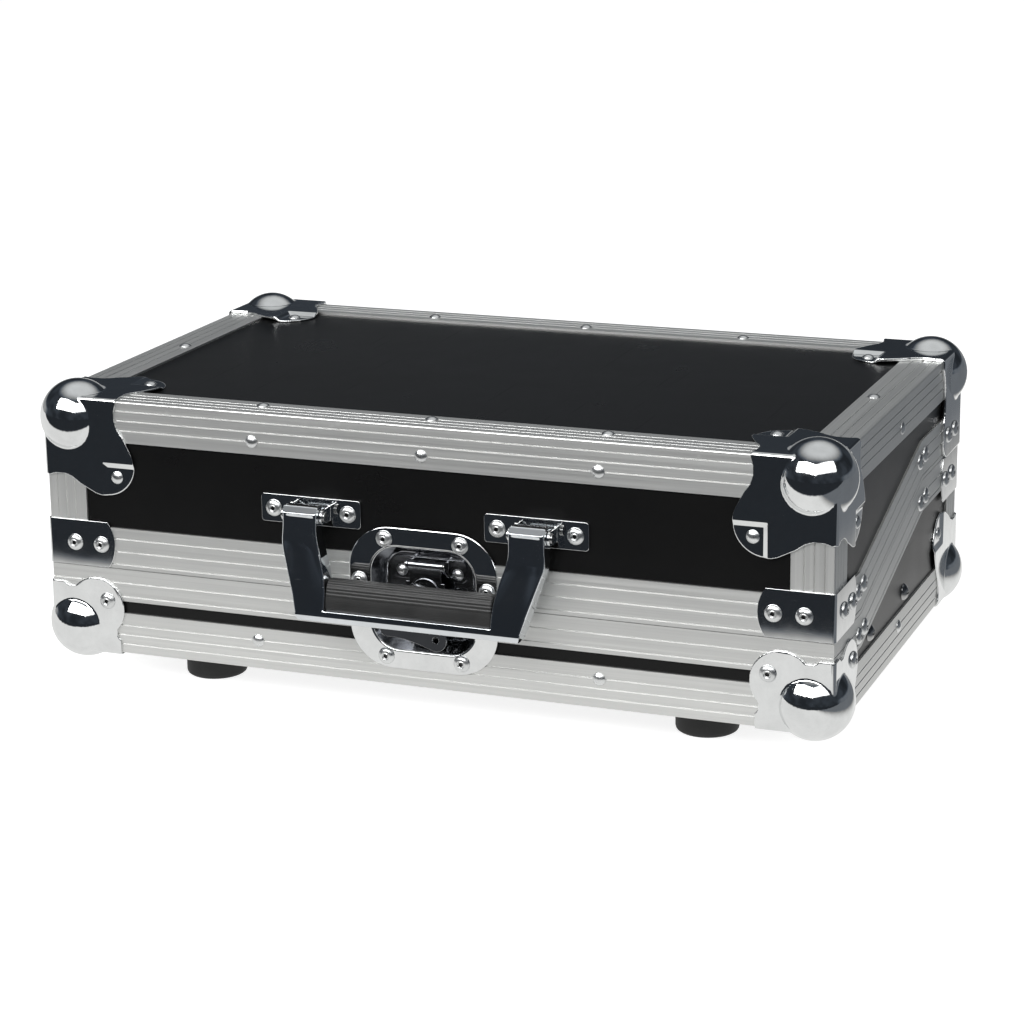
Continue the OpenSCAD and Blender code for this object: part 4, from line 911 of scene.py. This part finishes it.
def revolve(work, profile, centre, out, steps, turn):
    """Adds a turned shape: its profile is a list of radius and height in millimetres."""
    side = out.orthogonal().normalized()
    other = out.cross(side)
    rings = []
    for radius, height in profile:
        middle = centre + out * (height / 1000)
        if radius == 0:
            rings.append([work.verts.new(middle)])
            continue
        ring = []
        for k in range(steps):
            a = 2 * math.pi * k / steps + turn
            ring.append(work.verts.new(
                middle + (side * math.cos(a) + other * math.sin(a)) * (radius / 1000)))
        rings.append(ring)
    for low, high in zip(rings, rings[1:]):
        for k in range(steps):
            n = (k + 1) % steps
            if len(low) == 1 and len(high) > 1:
                work.faces.new((low[0], high[n], high[k]))
            elif len(high) == 1 and len(low) > 1:
                work.faces.new((low[k], low[n], high[0]))
            elif len(low) > 1:
                work.faces.new((low[k], low[n], high[n], high[k]))


def dome_profile(r, h, rim=0.35, points=9):
    """Profile of a low domed head with a thin upright rim."""
    cap = h - rim
    sphere = (r * r + cap * cap) / (2 * cap)
    profile = [(0, 0), (r * 0.995, 0), (r, 0.08), (r, rim * 0.8)]
    start = math.asin((r - 0.12) / sphere)
    for k in range(points):
        a = start * (1 - k / (points - 1))
        profile.append((sphere * math.sin(a), h - sphere + sphere * math.cos(a)))
    profile[-1] = (0, h)
    return profile


# Profiles of a domed rivet, a blind rivet with the hollow of its mandrel, and a foot: radius, height
DOME = dome_profile(r=4.6, h=2.2)
BLIND = [(0, 0), (5.96, 0), (6.0, 0.10), (5.97, 0.35), (5.78, 0.80), (5.42, 1.28), (4.9, 1.75),
         (4.25, 2.13), (3.5, 2.41), (2.95, 2.53), (2.62, 2.52), (2.42, 2.40), (2.34, 2.22),
         (2.28, 2.12), (2.18, 2.16), (2.0, 2.30), (1.8, 2.34), (1.62, 2.28), (1.5, 2.1),
         (1.44, 1.0), (0.8, 0.96), (0, 0.95)]
FOOT = [(0, 12), (9, 12), (9, 0.9), (9.3, 0.25), (9.9, 0), (18.6, 0), (20.2, 0.35), (21.3, 1.15),
        (21.85, 2.3), (22, 3.6), (22, 24.2), (21.8, 24.8), (21.2, 25), (0, 25)]


def heads(node_name, profile, steps=28, sharp=38, standing=False, hole=0):
    """Turned heads in the place of each head of a node, or of each foot; the last bands of the
    profile may be a hole, painted near black as painted shade."""
    work = bmesh.new()
    dark = []
    for number, (centre, out) in enumerate(seats(node_name)):
        if standing:
            centre, out = Vector((centre.x, centre.y, 0)), Vector((0, 0, 1))
        revolve(work, profile, centre, out, steps, number * 0.7)
        work.faces.ensure_lookup_table()
        dark += range(len(work.faces) - hole * steps, len(work.faces))
    bmesh.ops.recalc_face_normals(work, faces=work.faces)
    mesh = finished(work, node_name + "_turned", sharp)
    piece = add_piece(node_name + "_turned", mesh, nodes[node_name]["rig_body"],
                      finish_of(node_name))
    # The last bands, inside the hole, get the near-black metal as painted shade
    if hole:
        piece.data.materials.append(hole_painted_shade)
    for index in dark:
        piece.data.polygons[index].material_index = 1
    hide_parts(node_name)


for half in ("lid", "base"):
    heads(half + "_dome_rivets", DOME)
for half in ("lid", "base"):
    heads(half + "_blind_rivets", BLIND, hole=3)
heads("feet", FOOT, steps=48, sharp=40, standing=True)

# Foam lining

def lining(node_name):
    """Foam boards: soft edges, and faces that are not quite flat."""
    node = nodes[node_name]
    mesh = modified_mesh(
        node.data.copy(),
        ("REMESH", {"mode": "VOXEL", "voxel_size": 0.0024, "adaptivity": 0}),
        ("SMOOTH", {"factor": 0.5, "iterations": 4}))
    for polygon in mesh.polygons:
        polygon.use_smooth = True
    mesh.name = node_name + "_boards"
    piece = add_piece(node_name + "_boards", mesh, node["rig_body"], foam_grey)
    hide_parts(node_name)


lining("base_foam")
lining("lid_foam")


# Floor, lights and surroundings

# Radiance of the ceiling, of the band behind the table and of the dark room, and its tint
CEILING = 0.66
BAND = 0.30
ROOM = (0.024, 0.055)
NAVY = (0.78, 0.92, 1.12)
# The two windows: elevation in degrees, distance and height in metres, and their radiance
WINDOW_RISE = 39
WINDOW_AWAY = 2.6
WINDOW_TALL = 1.3
WINDOW_LEFT = 7.8
WINDOW_RIGHT = 1.8
WINDOW_AIM = Vector((0, 0, 0.12))
# The floor and the card over it: half their width, the card's lift, its brightness when pale and at
# least, where it goes dark in front and dim on the right, and how dim
FLOOR_HALF = 9
CARD_LIFT = 0.0004
CARD = 0.84
CARD_LEAST = 0.026
CARD_DARK = -0.45
CARD_PALE = -0.40
CARD_RIGHT_PALE = 0.33
CARD_RIGHT_DIM = 0.44
CARD_DIM = 0.18


def sheet(name, lift, material):
    """A large level square."""
    half = FLOOR_HALF
    corners = [(-half, -half, lift), (half, -half, lift), (half, half, lift), (-half, half, lift)]
    mesh = bpy.data.meshes.new(name)
    mesh.from_pydata(corners, [], [(0, 1, 2, 3)])
    mesh.materials.append(material)
    piece = bpy.data.objects.new(name, mesh)
    bpy.context.scene.collection.objects.link(piece)
    return piece


def table_card():
    """What the chrome sees of the table: a card just above the floor that only reflections show. It is
    pale near the case, dim to its right and dark in front, as a table is whose front edge is near."""
    material = bpy.data.materials.new("table_card")
    m = Graph(material, "Object")
    front = m.span(m.axis(1), CARD_DARK, CARD_PALE, 0.0, 1.0, True)
    right = m.span(m.axis(0), CARD_RIGHT_PALE, CARD_RIGHT_DIM, 1.0, CARD_DIM, True)
    tone = m.math("MULTIPLY", m.math("MULTIPLY", front, right), CARD)
    glow = m.node("ShaderNodeEmission")
    m.feed(glow.inputs["Color"], m.mix(m.span(tone, 0.0, 0.3, 0, 1), NAVY, (1, 1, 0.99)))
    m.feed(glow.inputs["Strength"], m.math("ADD", tone, CARD_LEAST))
    m.feed(m.node("ShaderNodeOutputMaterial").inputs["Surface"], glow.outputs[0])
    card = sheet("table_card", CARD_LIFT, material)
    card.visible_camera = False
    card.visible_diffuse = False
    card.visible_shadow = False


def make_floor():
    """A pale floor that glows, so that it looks evenly white up to the soft shadow of the case."""
    m = Shader("pale_floor")
    m.set(Roughness=0.85, Specular_IOR_Level=0.2, Emission_Color=(1, 1, 1, 1), Emission_Strength=0.82)
    tone = m.noise(1.5, 2)
    m.link(m.mix(m.span(tone, 0.3, 0.7, 0, 1), grey(0.50), grey(0.52)), "Base Color")
    floor = sheet("floor", 0, m.material)


def window(name, azimuth, width, radiance):
    """A soft box; azimuth 0 lies in front of the case and 90 to its right."""
    a = math.radians(azimuth)
    e = math.radians(WINDOW_RISE)
    way = Vector((math.sin(a) * math.cos(e), -math.cos(a) * math.cos(e), math.sin(e)))
    data = bpy.data.lights.new(name, "AREA")
    data.shape = "RECTANGLE"
    data.size = width
    data.size_y = WINDOW_TALL
    data.energy = radiance * width * WINDOW_TALL * math.pi
    light = bpy.data.objects.new(name, data)
    light.location = WINDOW_AIM + way * WINDOW_AWAY
    light.rotation_mode = "QUATERNION"
    light.rotation_quaternion = (-way).to_track_quat("-Z", "Y")
    bpy.context.scene.collection.objects.link(light)
    light.visible_camera = False


def make_world():
    """A dark room with a bright ceiling and a pale band behind the table; the camera sees it pale."""
    world = bpy.data.worlds.new("studio")
    w = Graph(world, "Generated")
    x, y, z = w.axis(0), w.axis(1), w.axis(2)
    lifted = w.math("ADD", z, w.math("MULTIPLY", y, 0.22))
    ceiling = w.span(lifted, 0.68, 0.98, 0.0, CEILING, True)
    low = w.span(z, 0.10, 0.20, 1.0, 0.0, True)
    behind = w.span(y, -0.25, 0.15, 0.0, BAND, True)
    left = w.span(x, 0.0, 0.5, 1.0, 0.45, True)
    band = w.math("MULTIPLY", w.math("MULTIPLY", low, behind), left)
    dark = w.span(w.noise(2.2, 1.5), 0.35, 0.7, *ROOM, True)
    total = w.math("ADD", w.math("ADD", ceiling, band), dark)
    room = w.node("ShaderNodeBackground")
    tint = w.mix(w.span(total, 0.05, 0.3, 0.0, 1.0, True), NAVY, (0.97, 0.99, 1))
    w.feed(room.inputs["Color"], tint)
    w.feed(room.inputs["Strength"], total)
    seen = w.node("ShaderNodeBackground")
    w.feed(seen.inputs["Color"], (1, 1, 1))
    mix = w.node("ShaderNodeMixShader")
    w.feed(mix.inputs[0], w.node("ShaderNodeLightPath").outputs["Is Camera Ray"])
    w.feed(mix.inputs[1], room.outputs[0])
    w.feed(mix.inputs[2], seen.outputs[0])
    w.feed(w.node("ShaderNodeOutputWorld").inputs[0], mix.outputs[0])
    bpy.context.scene.world = world


make_camera()
make_world()
make_floor()
window("window_left", -17, 2.9, WINDOW_LEFT)
window("window_right", 44, 2.5, WINDOW_RIGHT)
table_card()
scene = bpy.context.scene
scene.view_settings.view_transform = "Standard"
scene.view_settings.look = "None"
